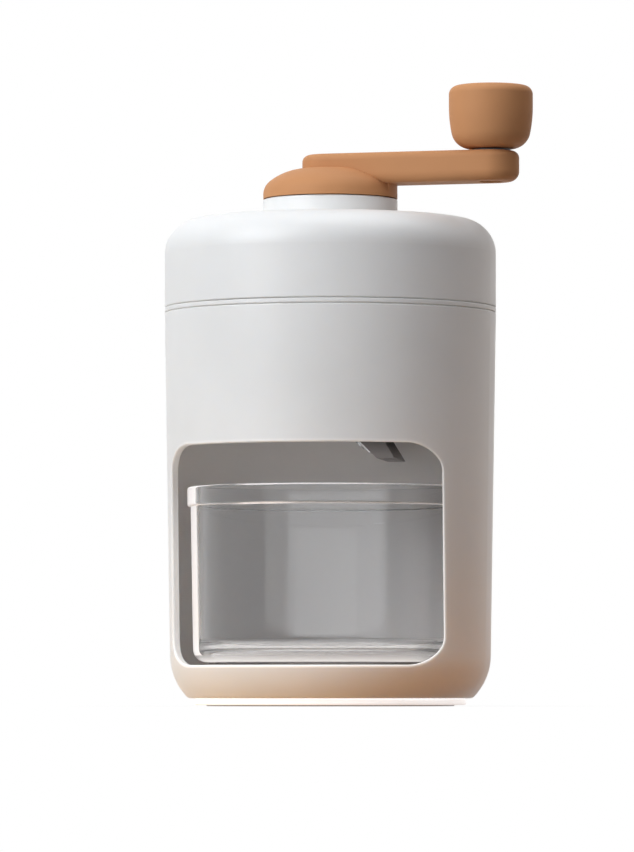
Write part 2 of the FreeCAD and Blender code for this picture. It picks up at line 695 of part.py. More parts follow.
def make_blade_screws():
    body = start_blade_body("blade_screws")
    spots = blade_screw_spots()
    heads = circles(body, ["blade_screw_head_radius"], spots, height="-blade_screw_head")
    pad(body, heads, "blade_screw_head")
    pad(body, circles(body, ["blade_screw_radius"], spots), "blade_thickness + blade_screw_grip")
    pocket(body, circles(body, ["blade_screw_radius"], spots, height="-blade_screw_head"),
           "blade_screw_head / 2", Reversed=True)
    return body


def make_holder_screws():
    body = start_body("holder_screws", z="hopper_floor_height", turn="blade_angle")
    spots = holder_screw_spots()
    seat = "hopper_floor_thickness - screw_head"
    pad(body, circles(body, ["screw_head_radius"], spots, height=seat), "screw_head")
    pad(body, circles(body, ["screw_radius"], spots, height="-holder_flange_thickness"),
        f"holder_flange_thickness + {seat}")
    pocket(body, circles(body, ["screw_radius"], spots, height="hopper_floor_thickness"), "screw_head / 2")
    return body


# ---- lid ----

def make_lid_cover():
    """A round-shouldered cap with a collar under the crank's hub and a boss inside for the bearing bush."""
    body = start_body("lid_cover", z="lid_bottom")
    roof = "lid_height - lid_wall"
    rim = "lid_height + collar_height"
    bore = "bush_radius + fixed_gap"
    flange_bore = "bush_flange_radius + fixed_gap"
    boss_bottom = f"{rim} - bush_flange_play - bush_length + clip_gap"
    inner = "shell_top_radius - lid_wall"
    revolve(body, [(bore, boss_bottom), ("bush_boss_radius", boss_bottom),
                   ("bush_boss_radius", f"{rim} - lid_wall"),
                   ("collar_radius - lid_wall", f"{rim} - lid_wall"), ("collar_radius - lid_wall", roof),
                   (inner, roof), (inner, "0"), ("shell_top_radius", "0"), ("shell_top_radius", "lid_height"),
                   ("collar_radius", "lid_height"), ("collar_radius", rim), (flange_bore, rim),
                   (flange_bore, f"{rim} - bush_flange_play - bush_flange_thickness"),
                   (bore, f"{rim} - bush_flange_play - bush_flange_thickness")])
    round_edges(body, "lid_shoulder", ring("shell_top_radius", "lid_height"))
    round_edges(body, "lid_shoulder - lid_wall", ring(inner, roof))
    round_edges(body, "collar_round", ring("collar_radius", rim))
    round_edges(body, "shell_rim_round", ring("shell_top_radius", "0"))
    spot = [("lid_screw_circle", "0")]
    boss_start = "liner_rise + liner_wall"
    boss = pad(body, circles(body, ["lid_boss_radius"], spot, height=boss_start), f"{roof} - ({boss_start})")
    hole = pocket(body, circles(body, ["screw_radius + fixed_gap"], spot, height=boss_start),
                  "lid_screw_length", Reversed=True)
    polar_pattern(body, [boss, hole], "lid_screw_count")
    return body


def make_lid_liner():
    """The lid's inner plate, with a skirt that reaches into the hopper and a groove for the seal."""
    body = start_body("lid_liner", z="liner_bottom")
    inner = "liner_inner_radius"
    groove = "liner_radius - seal_depth"
    revolve(body, [("liner_hole_radius", "liner_plate_rise"), (inner, "liner_plate_rise"), (inner, "0"),
                   ("liner_radius", "0"), ("liner_radius", "seal_offset"), (groove, "seal_offset"),
                   (groove, "seal_offset + seal_height"), ("liner_radius", "seal_offset + seal_height"),
                   ("liner_radius", "liner_plate_rise + liner_wall"),
                   ("liner_hole_radius", "liner_plate_rise + liner_wall")])
    hole = pocket(body, circles(body, ["screw_radius + screw_play"], [("lid_screw_circle", "0")]))
    polar_pattern(body, [hole], "lid_screw_count")
    return body


def make_lid_seal():
    body = start_body("lid_seal", z="liner_bottom + seal_offset + fixed_gap")
    tube(body, "hopper_inner_top - seal_gap", "liner_radius - seal_depth + fixed_gap",
         "seal_height - 2 * fixed_gap")
    return body


def make_neck_bush():
    """A flanged plain bearing for the shaft."""
    body = start_body("neck_bush", z="bush_bottom")
    neck = "bush_length - bush_flange_thickness"
    revolve(body, [("journal_radius + running_gap", "0"), ("bush_radius", "0"), ("bush_radius", neck),
                   ("bush_flange_radius", neck), ("bush_flange_radius", "bush_length"),
                   ("journal_radius + running_gap", "bush_length")])
    return body


# ---- crank ----

def make_crank_arm():
    """A flat arm with round ends on a domed hub, whose shoulder's arc runs into the crown's flatter one."""
    body = start_body("crank_arm", z="hub_bottom")
    add_arm_bar(body)
    add_hub_dome(body)
    cut_hub_seats(body)
    cut_pin_seat(body)
    return body


def add_arm_bar(body):
    width, far = "arm_half_width", "arm_reach + arm_half_width"
    stadium = [("0", f"-{width}"), ("arm_reach", f"-{width}", LEFT, width), (far, "0", LEFT, width),
               ("arm_reach", width), ("0", width, LEFT, width), (f"-{width}", "0", LEFT, width)]
    pad(body, outline(body, stadium, "XY_Plane", "arm_rise"), "arm_thickness")
    level = {name: measure(name) for name in ("arm_rise", "arm_top_rise")}
    for name, radius in (("arm_top_rise", "arm_top_round"), ("arm_rise", "arm_bottom_round")):
        round_edges(body, radius, lambda edge: (abs(edge.BoundBox.ZMin - level[name]) < TOUCH
                                                and abs(edge.BoundBox.ZMax - level[name]) < TOUCH))


def add_hub_dome(body):
    share = "/ (crown_radius - hub_round)"
    shoulder_end = (f"hub_level_radius + crown_reach * crown_radius {share}",
                    f"hub_side + hub_round * (crown_radius - crown_rise) {share}")
    revolve(body, [("0", "0"), ("collar_radius", "0"), ("collar_radius", "hub_side", LEFT, "hub_round"),
                   shoulder_end + (LEFT, "crown_radius"), ("hub_level_radius", "hub_height"),
                   ("0", "hub_height")])
    edge = "sqrt(collar_radius^2 - arm_root_half_width^2)"
    root = [("0", "-arm_root_half_width"), (edge, "-arm_root_half_width", LEFT, "collar_radius"),
            (edge, "arm_root_half_width"), ("0", "arm_root_half_width")]
    pad(body, outline(body, root, "XY_Plane"), "arm_rise + arm_bottom_round")


def cut_hub_seats(body):
    """The hub's hollow, the washer's seat, the shaft's socket, and the well for the screw and its cap."""
    hollow = circles(body, ["collar_radius - hub_skirt_wall", "hub_core_radius"])
    pocket(body, hollow, "hub_hollow", Reversed=True)
    pocket(body, circles(body, ["hub_core_radius"]), "thrust_washer_thickness", Reversed=True)
    socket = outline(body, hexagon("(hex_flats + 2 * fixed_gap)"), "XY_Plane")
    pocket(body, socket, "shaft_socket_depth + fixed_gap", Reversed=True)
    pocket(body, circles(body, ["hub_screw_radius + screw_play"]))
    pocket(body, circles(body, ["cap_radius"], height="arm_top_rise"), "arm_top_rise - (hub_screw_seat)")


def cut_pin_seat(body):
    """A hole through the arm's end for the knob's pin, and a hexagonal seat for its nut."""
    pocket(body, circles(body, ["pin_thread_radius + screw_play"], [("arm_reach", "0")]))
    seat = [(f"arm_reach + {x}", y) for x, y in hexagon("(nut_flats + 2 * fixed_gap)")]
    pocket(body, outline(body, seat, "XY_Plane", "arm_rise"), "nut_depth + nut_height", Reversed=True)


def make_drive_shaft():
    """From below: a thread for the stop nut, the presser's hexagon, the journal, and the hub's hexagon."""
    body = start_body("drive_shaft", z="stop_bottom")
    journal_start = "seat_top - stop_bottom"
    journal_end = "hub_bottom + thrust_washer_thickness - stop_bottom"
    top = "hub_bottom + shaft_socket_depth - stop_bottom"
    pad(body, circles(body, ["stop_thread_radius"]), "stop_height")
    pad(body, outline(body, hexagon("hex_flats"), "XY_Plane", "stop_height"), f"{top} - stop_height")
    pad(body, circles(body, ["journal_radius"], height=journal_start), f"{journal_end} - ({journal_start})")
    groove = circles(body, ["journal_radius", "journal_radius - clip_groove"],
                     height="clip_bottom - stop_bottom")
    pocket(body, groove, "clip_thickness", Reversed=True)
    pocket(body, circles(body, ["hub_screw_radius + fixed_gap"], height=top), "hub_screw_length")
    return body


def make_thrust_washer():
    body = start_body("thrust_washer", z="hub_bottom - fixed_gap")
    tube(body, "bush_flange_radius", "journal_radius + fixed_gap", "thrust_washer_thickness")
    return body


def make_shaft_clip():
    """A split ring in the journal's groove, which keeps the shaft from rising."""
    body = start_body("shaft_clip", z="clip_bottom + fixed_gap")
    tube(body, "clip_radius", "journal_radius - clip_groove + fixed_gap", "clip_thickness - 2 * fixed_gap")
    side, end = "(journal_radius - 2 * clip_groove)", "clip_radius + clip_thickness"
    gap = [("0", f"-{side}"), (end, f"-{side}"), (end, side), ("0", side)]
    pocket(body, outline(body, gap, "XY_Plane"))
    return body


def make_hub_screw():
    body = start_body("hub_screw", z="hub_bottom + hub_screw_seat")
    pad(body, circles(body, ["hub_screw_head_radius"]), "hub_screw_head")
    pad(body, circles(body, ["hub_screw_radius"], height="-hub_screw_length"), "hub_screw_length")
    drive = outline(body, hexagon("1.6 * hub_screw_radius"), "XY_Plane", "hub_screw_head")
    pocket(body, drive, "hub_screw_head / 2")
    return body


def make_hub_cap():
    body = start_body("hub_cap", z="arm_top - cap_thickness")
    pad(body, circles(body, ["cap_radius - fixed_gap"]), "cap_thickness")
    return body


def make_spring_seat():
    """A washer with a hexagonal hole, under the journal's shoulder."""
    body = start_body("spring_seat", z="seat_bottom")
    pad(body, circles(body, ["seat_radius"]), "seat_thickness")
    pocket(body, outline(body, hexagon("(hex_flats + 2 * fixed_gap)"), "XY_Plane"))
    return body


def make_stop_nut():
    """The nut on the shaft's end on which the presser comes to rest."""
    body = start_body("stop_nut", z="stop_bottom")
    pad(body, outline(body, hexagon("stop_flats"), "XY_Plane"), "stop_height")
    pocket(body, circles(body, ["stop_thread_radius + fixed_gap"]))
    return body


def make_presser_spring():
    """An open coil between the presser's deck and the spring seat."""
    body = start_body("presser_spring", z="spring_bottom")
    wire = circles(body, ["spring_wire / 2"], [("spring_radius", "0")], "XZ_Plane")
    rise = "spring_top - spring_bottom"
    make_feature(body, "AdditiveHelix", wire, True, ReferenceAxis=(wire, ["V_Axis"]), Mode=0,
                 Pitch=f"({rise}) / spring_turns", Height=rise)
    return body


# ---- knob ----

def make_knob_washer():
    body = start_body("knob_washer", x="arm_reach", z="arm_top")
    tube(body, "knob_washer_radius", "pin_thread_radius + screw_play", "knob_washer_thickness")
    return body


def make_knob_pin():
    """A shoulder screw: the knob turns on its shoulder, and its head holds the knob's ledge down."""
    body = start_body("knob_pin", x="arm_reach", z="knob_washer_top")
    grip = "arm_thickness + knob_washer_thickness - nut_depth"
    pad(body, circles(body, ["pin_radius"]), "pin_shoulder")
    pad(body, circles(body, ["pin_thread_radius"], height=f"-({grip})"), grip)
    pad(body, circles(body, ["pin_head_radius"], height="pin_shoulder"), "pin_head")
    pocket(body, outline(body, hexagon("pin_radius"), "XY_Plane", "pin_shoulder + pin_head"), "pin_head / 2")
    return body


def make_knob_nut():
    body = start_body("knob_nut", x="arm_reach", z="hub_bottom + arm_rise + nut_depth")
    pad(body, outline(body, hexagon("nut_flats"), "XY_Plane"), "nut_height")
    pocket(body, circles(body, ["pin_thread_radius + fixed_gap"]))
    return body


def make_knob():
    """A turned knob: a curved foot, a barely swelling side and a rounded top, bored for its pin and cap."""
    body = start_body("knob", x="arm_reach", z="knob_bottom")
    foot_end = ("knob_foot_radius + knob_curve_share * (knob_side_curve - knob_foot_curve - knob_swell)",
                "knob_foot_curve - knob_curve_share * knob_side_rise")
    revolve(body, [("0", "0"), ("knob_foot_radius", "0", LEFT, "knob_foot_curve"),
                   foot_end + (LEFT, "knob_side_curve"),
                   ("knob_radius", "knob_side_height"), ("knob_radius", "knob_height"), ("0", "knob_height")])
    round_edges(body, "knob_top_round", ring("knob_radius", "knob_height"))
    pocket(body, circles(body, ["pin_radius + pin_play"]))
    pocket(body, circles(body, ["knob_well_radius"], height="knob_height"), "knob_height - pin_ledge")
    pocket(body, circles(body, ["knob_cap_radius"], height="knob_height"), "knob_cap_thickness")
    return body


def make_knob_cap():
    body = start_body("knob_cap", x="arm_reach", z="knob_bottom + knob_height - knob_cap_thickness")
    pad(body, circles(body, ["knob_cap_radius - fixed_gap"]), "knob_cap_thickness")
    return body


# ---- presser ----

def make_presser_disc():
    """A disc with a raised rim and a hub that slides on the shaft's hexagon."""
    body = start_body("presser_disc", z="presser_bottom")
    rim_inner = "presser_radius - presser_rim_wall"
    revolve(body, [("0", "0"), ("presser_radius", "0"), ("presser_radius", "presser_rim_height"),
                   (rim_inner, "presser_rim_height"), (rim_inner, "presser_deck"),
                   ("presser_hub_radius", "presser_deck"), ("presser_hub_radius", "presser_hub_height"),
                   ("0", "presser_hub_height")])
    pocket(body, outline(body, hexagon("(hex_flats + hex_play)"), "XY_Plane"))
    spot = [("spike_screw_circle", "0")]
    boss = pad(body, circles(body, ["presser_boss_radius"], spot), "presser_boss_height")
    hole = pocket(body, circles(body, ["screw_radius + fixed_gap"], spot),
                  "spike_screw_length", Reversed=True)
    polar_pattern(body, [boss, hole], "spike_screw_count")
    return body


def make_spike_plate():
    """A steel plate with two rings of bent-down teeth that grip the ice."""
    body = start_body("spike_plate", z="spike_plate_bottom")
    tube(body, "spike_plate_radius", "spike_hole_radius", "spike_plate_thickness")
    teeth = []
    for circle in ("spike_outer_circle", "spike_inner_circle"):
        near, far = f"{circle} - spike_width / 2", f"{circle} + spike_width / 2"
        tooth = [(near, "0"), (circle, "-spike_length"), (far, "0"),
                 (far, "spike_plate_thickness / 2"), (near, "spike_plate_thickness / 2")]
        teeth.append(pad(body, outline(body, tooth), "spike_plate_thickness", Midplane=True))
    polar_pattern(body, teeth, "spike_count")
    pocket(body, circles(body, ["screw_radius + screw_play"], spike_screw_spots()))
    return body


def spike_screw_spots():
    turns = [f"{number} * 360 / spike_screw_count" for number in range(int(measure("spike_screw_count")))]
    return [(f"spike_screw_circle * cos({turn})", f"spike_screw_circle * sin({turn})") for turn in turns]


NODES = [
    make_foot_pad(), make_base_plate(),
    make_screws("base_screws", "base_screw_circle", "base_screw_count", "base_screw_length", z="plate_top"),
    make_body_shell(), make_cup(),
    make_ice_hopper(), make_blade_holder(), make_blade(), make_blade_screws(), make_holder_screws(),
    make_lid_cover(), make_lid_liner(), make_lid_seal(), make_neck_bush(),
    make_screws("lid_screws", "lid_screw_circle", "lid_screw_count", "lid_screw_length + liner_wall",
                z="liner_plate_underside"),
    make_crank_arm(), make_drive_shaft(), make_thrust_washer(), make_shaft_clip(), make_hub_screw(),
    make_hub_cap(), make_spring_seat(), make_stop_nut(), make_presser_spring(),
    make_knob_washer(), make_knob_pin(), make_knob_nut(), make_knob(), make_knob_cap(),
    make_presser_disc(), make_spike_plate(),
    make_screws("spike_screws", "spike_screw_circle", "spike_screw_count",
                "spike_plate_thickness + spike_screw_length", z="spike_plate_bottom"),
]

document.recompute()
failed = [thing.Name for thing in document.Objects if {"Invalid", "Error"} & set(thing.State)]
if failed:
    raise RuntimeError("features that failed: " + ", ".join(failed))
for node in NODES:
    if node.Shape.isNull() or not node.Shape.isValid():
        raise RuntimeError(node.Label + " has no valid shape")

os.makedirs("parts", exist_ok=True)
for node in NODES:
    node.Shape.exportStep(f"parts/{node.Label}.step")
    print(f"{node.Label:16s} solids {len(node.Shape.Solids)}  volume {node.Shape.Volume:10.1f}"
          f"  z {node.Shape.BoundBox.ZMin:7.2f} to {node.Shape.BoundBox.ZMax:7.2f}")
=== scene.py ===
# %% [markdown]
# # Dressing an ice shaver
# A hand-cranked ice shaver stands on a white table. Its solids were drawn in CAD, and every piece is
# already at its real size and in its real place. This lesson gives them their looks: a camera, a small
# studio, a finish for each material, and a few pieces made anew as surfaces. All lengths are in metres,
# +Z is up, and the window with the cup looks along -Y.

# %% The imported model
import json
from math import cos, pi, radians, sin

import bmesh
import bpy
import numpy as np
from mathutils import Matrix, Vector


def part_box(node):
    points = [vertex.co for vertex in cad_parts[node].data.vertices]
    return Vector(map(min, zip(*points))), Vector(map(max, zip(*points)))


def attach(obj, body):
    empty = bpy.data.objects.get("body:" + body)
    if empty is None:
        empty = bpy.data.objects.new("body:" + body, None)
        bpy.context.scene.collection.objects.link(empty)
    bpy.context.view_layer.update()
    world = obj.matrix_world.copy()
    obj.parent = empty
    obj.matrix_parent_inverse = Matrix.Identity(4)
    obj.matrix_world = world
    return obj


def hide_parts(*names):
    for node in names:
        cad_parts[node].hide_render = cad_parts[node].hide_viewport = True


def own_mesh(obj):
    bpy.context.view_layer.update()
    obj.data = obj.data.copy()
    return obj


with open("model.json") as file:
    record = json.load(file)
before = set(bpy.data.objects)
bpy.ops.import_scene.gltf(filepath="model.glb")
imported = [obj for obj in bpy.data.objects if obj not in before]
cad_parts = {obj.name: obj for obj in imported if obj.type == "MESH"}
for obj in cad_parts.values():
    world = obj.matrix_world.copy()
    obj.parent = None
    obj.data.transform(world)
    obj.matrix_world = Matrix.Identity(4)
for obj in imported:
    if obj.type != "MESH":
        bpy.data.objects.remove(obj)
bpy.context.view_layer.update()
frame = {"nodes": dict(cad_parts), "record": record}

SLOT_OF = {row["node"]: row["material_slot"] for row in frame["record"]["subparts"]}
MM = 0.001

# %% [markdown]
# ## The camera
# A product picture is taken from far away with a long lens, so that upright edges stay parallel and the
# near and far rims of a round thing look alike. The camera stands two metres off, a little to the right
# of the window, with its eye just above the table. It is aimed with a direction vector: `to_track_quat`
# turns the camera's own -Z axis along it and keeps its Y axis upright, which is easier to read than
# three angles.

# %% A long lens at table height
CAMERA_TURN = radians(16.6)      # round to the right, from the front of the window
CAMERA_DISTANCE = 2.15
EYE_HEIGHT = 0.004
AIM_HEIGHT = 0.1015
AIM_LEFT = 0.00486               # the object stands a little right of the middle of the view
LENS_MM = 250.7
SENSOR_MM = 36.0

TO_CAMERA = Vector((sin(CAMERA_TURN), -cos(CAMERA_TURN), 0.0))
TO_RIGHT = Vector((cos(CAMERA_TURN), sin(CAMERA_TURN), 0.0))


def studio_spot(forward, right, up):
    """A place in the studio: so far from the object towards the camera, to the right as seen, and up."""
    return TO_CAMERA * forward + TO_RIGHT * right + Vector((0.0, 0.0, up))


camera = bpy.data.objects.new("camera", bpy.data.cameras.new("camera"))
camera.data.lens = LENS_MM
camera.data.sensor_width = SENSOR_MM
camera.data.clip_end = 50.0
camera.location = studio_spot(CAMERA_DISTANCE, 0.0, EYE_HEIGHT)
aim = studio_spot(0.0, -AIM_LEFT, AIM_HEIGHT) - camera.location
camera.rotation_euler = aim.to_track_quat("-Z", "Y").to_euler()
bpy.context.scene.collection.objects.link(camera)
bpy.context.scene.camera = camera
bpy.context.scene.view_settings.view_transform = "Standard"
print("camera at", [round(value, 3) for value in camera.location])

# %% [markdown]
# ## A shorthand for node trees
# A procedural material is arithmetic on numbers that change from point to point. Written node by node it
# is long and hard to read, so two small classes help. `Wire` wraps a socket, and the signs + - and * on
# wires add the Math nodes, as does |, which gives the larger of two. `Paint` holds one material, and its
# method `node` adds any other node: its type, its settings, then what its sockets hold or are linked to.
# The other methods name what the finishes need again and again: where a point is, noise, ramps from one
# value to another, and mixing.

# %% Wires and paints
class Wire:
    """One output socket of a node tree. A sign between wires and numbers adds a Math node."""

    def __init__(self, paint, socket):
        self.paint = paint
        self.socket = socket

    def _maths(self, operation, first, second):
        return self.paint.node("ShaderNodeMath", {"operation": operation}, {0: first, 1: second})

    def __add__(self, other):
        return self._maths("ADD", self, other)

    def __sub__(self, other):
        return self._maths("SUBTRACT", self, other)

    def __rsub__(self, other):
        return self._maths("SUBTRACT", other, self)

    def __mul__(self, other):
        return self._maths("MULTIPLY", self, other)

    def __or__(self, other):
        return self._maths("MAXIMUM", self, other)

    __radd__ = __add__
    __rmul__ = __mul__


class Paint:
    """A node tree being filled: a material's, or the world's."""

    def __init__(self, owner):
        owner.use_nodes = True
        self.owner = owner
        self.tree = owner.node_tree
        self.tree.nodes.clear()

    def node(self, kind, settings=None, sockets=None, out=0):
        """Adds a node, sets it up, then fills or links its inputs, and gives back one output as a Wire."""
        made = self.tree.nodes.new(kind)
        for name, value in (settings or {}).items():
            setattr(made, name, value)
        for name, value in (sockets or {}).items():
            if isinstance(value, Wire):
                self.tree.links.new(value.socket, made.inputs[name])
            else:
                made.inputs[name].default_value = value
        return Wire(self, made.outputs[out])

    def place(self, scale=(1.0, 1.0, 1.0)):
        """The point on the piece in metres, after a stretch."""
        point = self.node("ShaderNodeTexCoord", out="Object")
        return self.node("ShaderNodeMapping", {}, {"Vector": point, "Scale": scale})

    def axis(self, letter):
        """The point's X, Y or Z in metres."""
        return self.node("ShaderNodeSeparateXYZ", {}, {0: self.place()}, out=letter)

    def height(self):
        """How high above the table the point on the piece is, in metres."""
        return self.axis("Z")

    def vector(self, operation, first, second=(0.0, 0.0, 0.0), out="Vector"):
        """Arithmetic on one or two vectors, whose result is a vector, or a number with out="Value"."""
        return self.node("ShaderNodeVectorMath", {"operation": operation}, {0: first, 1: second}, out=out)

    def along(self, direction):
        """How far the point on the piece lies in a direction from the origin, in metres."""
        return self.vector("DOT_PRODUCT", self.place(), direction, out="Value")

    def off_axis(self, foot=(0.0, 0.0, 0.0)):
        """How far the point on the piece is from the upright line through `foot`, in metres."""
        return self.vector("DISTANCE", self.place(scale=(1.0, 1.0, 0.0)), foot, out="Value")

    def noise(self, size, detail=2.0, place=None):
        """Cloudy noise from 0 to 1, whose blobs are about `size` metres across."""
        sockets = {"Vector": place or self.place(), "Scale": 1.0 / size, "Detail": detail}
        return self.node("ShaderNodeTexNoise", {}, sockets)

    def ramp(self, value, start, end, low, high, kind="LINEAR"):
        """Goes from low to high as the value goes from start to end, and is held beyond both."""
        limits = {"From Min": start, "From Max": end, "To Min": low, "To Max": high}
        return self.node("ShaderNodeMapRange", {"interpolation_type": kind}, {"Value": value, **limits})

    def between(self, value, low, high, blur):
        """1 from low + blur to high, and fading to 0 within the blur at either end."""
        return self.ramp(value, low, low + blur, 0.0, 1.0) * self.ramp(value, high, high + blur, 1.0, 0.0)

    def spread(self, value, low, high):
        """Stretches the middle of a noise, 0.3 to 0.7, to low..high, held at both ends."""
        return self.ramp(value, 0.3, 0.7, low, high)

    def blend(self, share, first, second):
        """A colour between two colours."""
        return self.node("ShaderNodeMix", {"data_type": "RGBA"}, {0: share, 6: first, 7: second}, out=2)

    def bump(self, height, depth):
        """A normal tilted by a height from 0 to 1 that stands `depth` metres tall."""
        return self.node("ShaderNodeBump", {}, {"Height": height, "Distance": depth, "Strength": 1.0})

    def mix(self, share, first, second):
        """A shader between two shaders."""
        return self.node("ShaderNodeMixShader", {}, {0: share, 1: first, 2: second})

    def output(self, shader, kind="ShaderNodeOutputMaterial"):
        """Links the finished shader to the output and gives back what it was made for."""
        end = self.tree.nodes.new(kind)
        self.tree.links.new(shader.socket, end.inputs["Surface"])
        return self.owner


def new_paint(name):
    """A Paint that fills a new material of this name."""
    return Paint(bpy.data.materials.new(name))


# %% [markdown]
# ## Surfaces from grids
# Every new piece here is a grid of points worked out with numpy, rows by columns, whose neighbours are
# joined by quads. The points come as one array, and the faces are index arithmetic on another, so no
# loop runs over the vertices. Where rows or columns close on themselves, the last is joined to the
# first. A row that has shrunk to one point, as at the middle of a disc, is merged into a pole, and then
# the normals are made to point outwards.

# %% A mesh from a grid of points
SAME_POINT = 1e-7                # points nearer together than this become one


def grid_faces(rows, columns, rows_close, columns_close):
    """Quad (i, j) joins the points (i, j), (i, j+1), (i+1, j+1) and (i+1, j), counted modulo the grid."""
    i, j = np.meshgrid(np.arange(rows - (not rows_close)), np.arange(columns - (not columns_close)),
                       indexing="ij")
    below, beside = (i + 1) % rows, (j + 1) % columns
    corners = [i * columns + j, i * columns + beside, below * columns + beside, below * columns + j]
    return np.stack(corners, axis=-1).reshape(-1, 4)


def grid_piece(name, points, rows_close=False, columns_close=False):
    """Makes a smooth mesh object of a (rows, columns, 3) grid, with its poles merged."""
    rows, columns = points.shape[:2]
    faces = grid_faces(rows, columns, rows_close, columns_close)
    mesh = bpy.data.meshes.new(name)
    mesh.from_pydata(points.reshape(-1, 3), [], faces.tolist())
    shape = bmesh.new()
    shape.from_mesh(mesh)
    bmesh.ops.remove_doubles(shape, verts=shape.verts, dist=SAME_POINT)
    bmesh.ops.recalc_face_normals(shape, faces=shape.faces)
    shape.to_mesh(mesh)
    shape.free()
    mesh.shade_smooth()
    piece = bpy.data.objects.new(name, mesh)
    bpy.context.scene.collection.objects.link(piece)
    return piece


# %% [markdown]
# A turned piece needs its outline first. `rounded` takes the corners of the outline, each with the
# radius of its round, as a machinist's drawing does, and works out every arc at once.

# %% Turned pieces
def rounded(corners, steps=9, lead=0.2):
    """A closed outline of corners (r, z, radius), in millimetres, with an arc at each corner, in metres.

    Let u and v be unit vectors from a corner to its neighbours, m the unit vector along u + v, s the one
    along v - u, and h half the angle between u and v. The arc's centre is corner + m radius / sin(h), and
    its points are centre + radius (s sin(a) - m cos(a)), for a from h - pi/2 to pi/2 - h. One more point
    before and after it, a share `lead` of the radius away, keeps the shading of the straight runs flat.
    """
    corner = np.array(corners, float) * MM
    spot, radius = corner[:, :2], corner[:, 2:]
    back, ahead = np.roll(spot, 1, axis=0) - spot, np.roll(spot, -1, axis=0) - spot
    u = back / np.linalg.norm(back, axis=1, keepdims=True)
    v = ahead / np.linalg.norm(ahead, axis=1, keepdims=True)
    m = (u + v) / np.linalg.norm(u + v, axis=1, keepdims=True)
    s = (v - u) / np.linalg.norm(v - u, axis=1, keepdims=True)
    sine = np.linalg.norm(v - u, axis=1, keepdims=True) / 2
    centre = spot + m * radius / sine
    limit = pi / 2 - np.arcsin(sine)
    a = (limit * np.linspace(-1.0, 1.0, steps))[:, :, None]
    arcs = centre[:, None] + radius[:, None] * (s[:, None] * np.sin(a) - m[:, None] * np.cos(a))
    before = arcs[:, :1] + (u * radius * lead)[:, None]
    after = arcs[:, -1:] + (v * radius * lead)[:, None]
    return np.concatenate([before, arcs, after], axis=1).reshape(-1, 2)


def turned(name, profile, centre=(0.0, 0.0), columns=256, closed=True):
    """The outline of points (r, z) carried round an upright axis: (cx + r cos a, cy + r sin a, z)."""
    a = np.linspace(0.0, 2 * pi, columns, endpoint=False)
    r, z = profile[:, :1], profile[:, 1:]
    points = np.stack([centre[0] + r * np.cos(a), centre[1] + r * np.sin(a), z + 0 * a], axis=-1)
    return grid_piece(name, points, rows_close=closed, columns_close=True)


def finished(piece, body, node, material):
    """Gives a new piece its material and its body, and hides the CAD node that it stands for."""
    piece.data.materials.append(material)
    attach(piece, body)
    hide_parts(node)
    print(piece.name, "has", len(piece.data.polygons), "faces")
    return piece


# %% [markdown]
# ## The table and the light round it
# The table is a wide plain sheet. The camera, mirrors and glass see it white: it glows by itself, all
# the way out, except that close to the shaver a part of the white is lit, so that the contact shadow
# stays. Light that the table throws back on the shaver is another matter: it is tinted, as a warm wooden
# board under the foot would tint it, more to the right, and that glow fades within a hand's width. No
# such board is seen. Light Path tells the kinds of ray apart.

# %% Table
TABLE_HALF = 4.0
PLAIN_WHITE = (1.0, 1.0, 1.0, 1.0)
LEFT_BOARD = (0.84, 0.51, 0.21, 1.0)     # the warm tones round the foot, by the side they are on
RIGHT_BOARD = (0.62, 0.24, 0.015, 1.0)
SHADED_BOARD = (0.38, 0.13, 0.01, 1.0)   # on the right, close to the foot
COOL_TABLE = (0.28, 0.27, 0.26, 1.0)
BOARD_RADIUS = 0.08
BOARD_FADE = 0.12
BOARD_TURN = 0.06                # the left tone goes over to the right one within this far of the axis
SHADE_END = (0.055, 0.085)       # the shaded tone ends between these distances from the axis
SHADOW_REACH = 0.12              # out to here part of the table's white is lit, not glowing
SHADOW_GLOW = 0.88               # the share that glows close to the foot


def white_seen_by(paint):
    """1 for rays from the camera, off gloss and through glass, and 0 for light on its way between."""
    path = "ShaderNodeLightPath"
    seen = paint.node(path, out="Is Camera Ray") | paint.node(path, out="Is Glossy Ray")
    return seen | paint.node(path, out="Is Transmission Ray")


def table_finish():
    """White for the eye, and the tones of a warm board for the light that is thrown back."""
    paint = new_paint("table_white")
    distance = paint.off_axis()
    fade = paint.ramp(distance, BOARD_RADIUS, BOARD_RADIUS + BOARD_FADE, 0.0, 1.0, "SMOOTHSTEP")
    right = paint.blend(paint.ramp(distance, *SHADE_END, 0.0, 1.0), SHADED_BOARD, RIGHT_BOARD)
    turn = paint.ramp(paint.along(TO_RIGHT), -BOARD_TURN, BOARD_TURN, 0.0, 1.0)
    board = paint.blend(turn, LEFT_BOARD, right)
    thrown = paint.node("ShaderNodeBsdfDiffuse", {}, {"Color": paint.blend(fade, board, COOL_TABLE)})
    lit = paint.node("ShaderNodeBsdfDiffuse", {}, {"Color": PLAIN_WHITE})
    glow = paint.node("ShaderNodeEmission", {}, {"Color": PLAIN_WHITE, "Strength": 1.0})
    share = paint.ramp(distance, BOARD_RADIUS, SHADOW_REACH, SHADOW_GLOW, 1.0, "SMOOTHSTEP")
    return paint.output(paint.mix(white_seen_by(paint), thrown, paint.mix(share, lit, glow)))


sides = np.array([-TABLE_HALF, TABLE_HALF])
across, along = np.meshgrid(sides, sides)
table = grid_piece("table", np.stack([across, along, 0 * across], axis=-1))
table.data.materials.append(table_finish())
print("table:", 2 * TABLE_HALF, "m wide")

# %% [markdown]
# The world is white to the eye as well. What it sheds on the shaver is dimmer and changes with the
# direction: cool in front, where a window would be, and warm and darker to the right. `Generated` in a
# world is the direction of the ray, and its dot product with a direction says how far it looks that way.

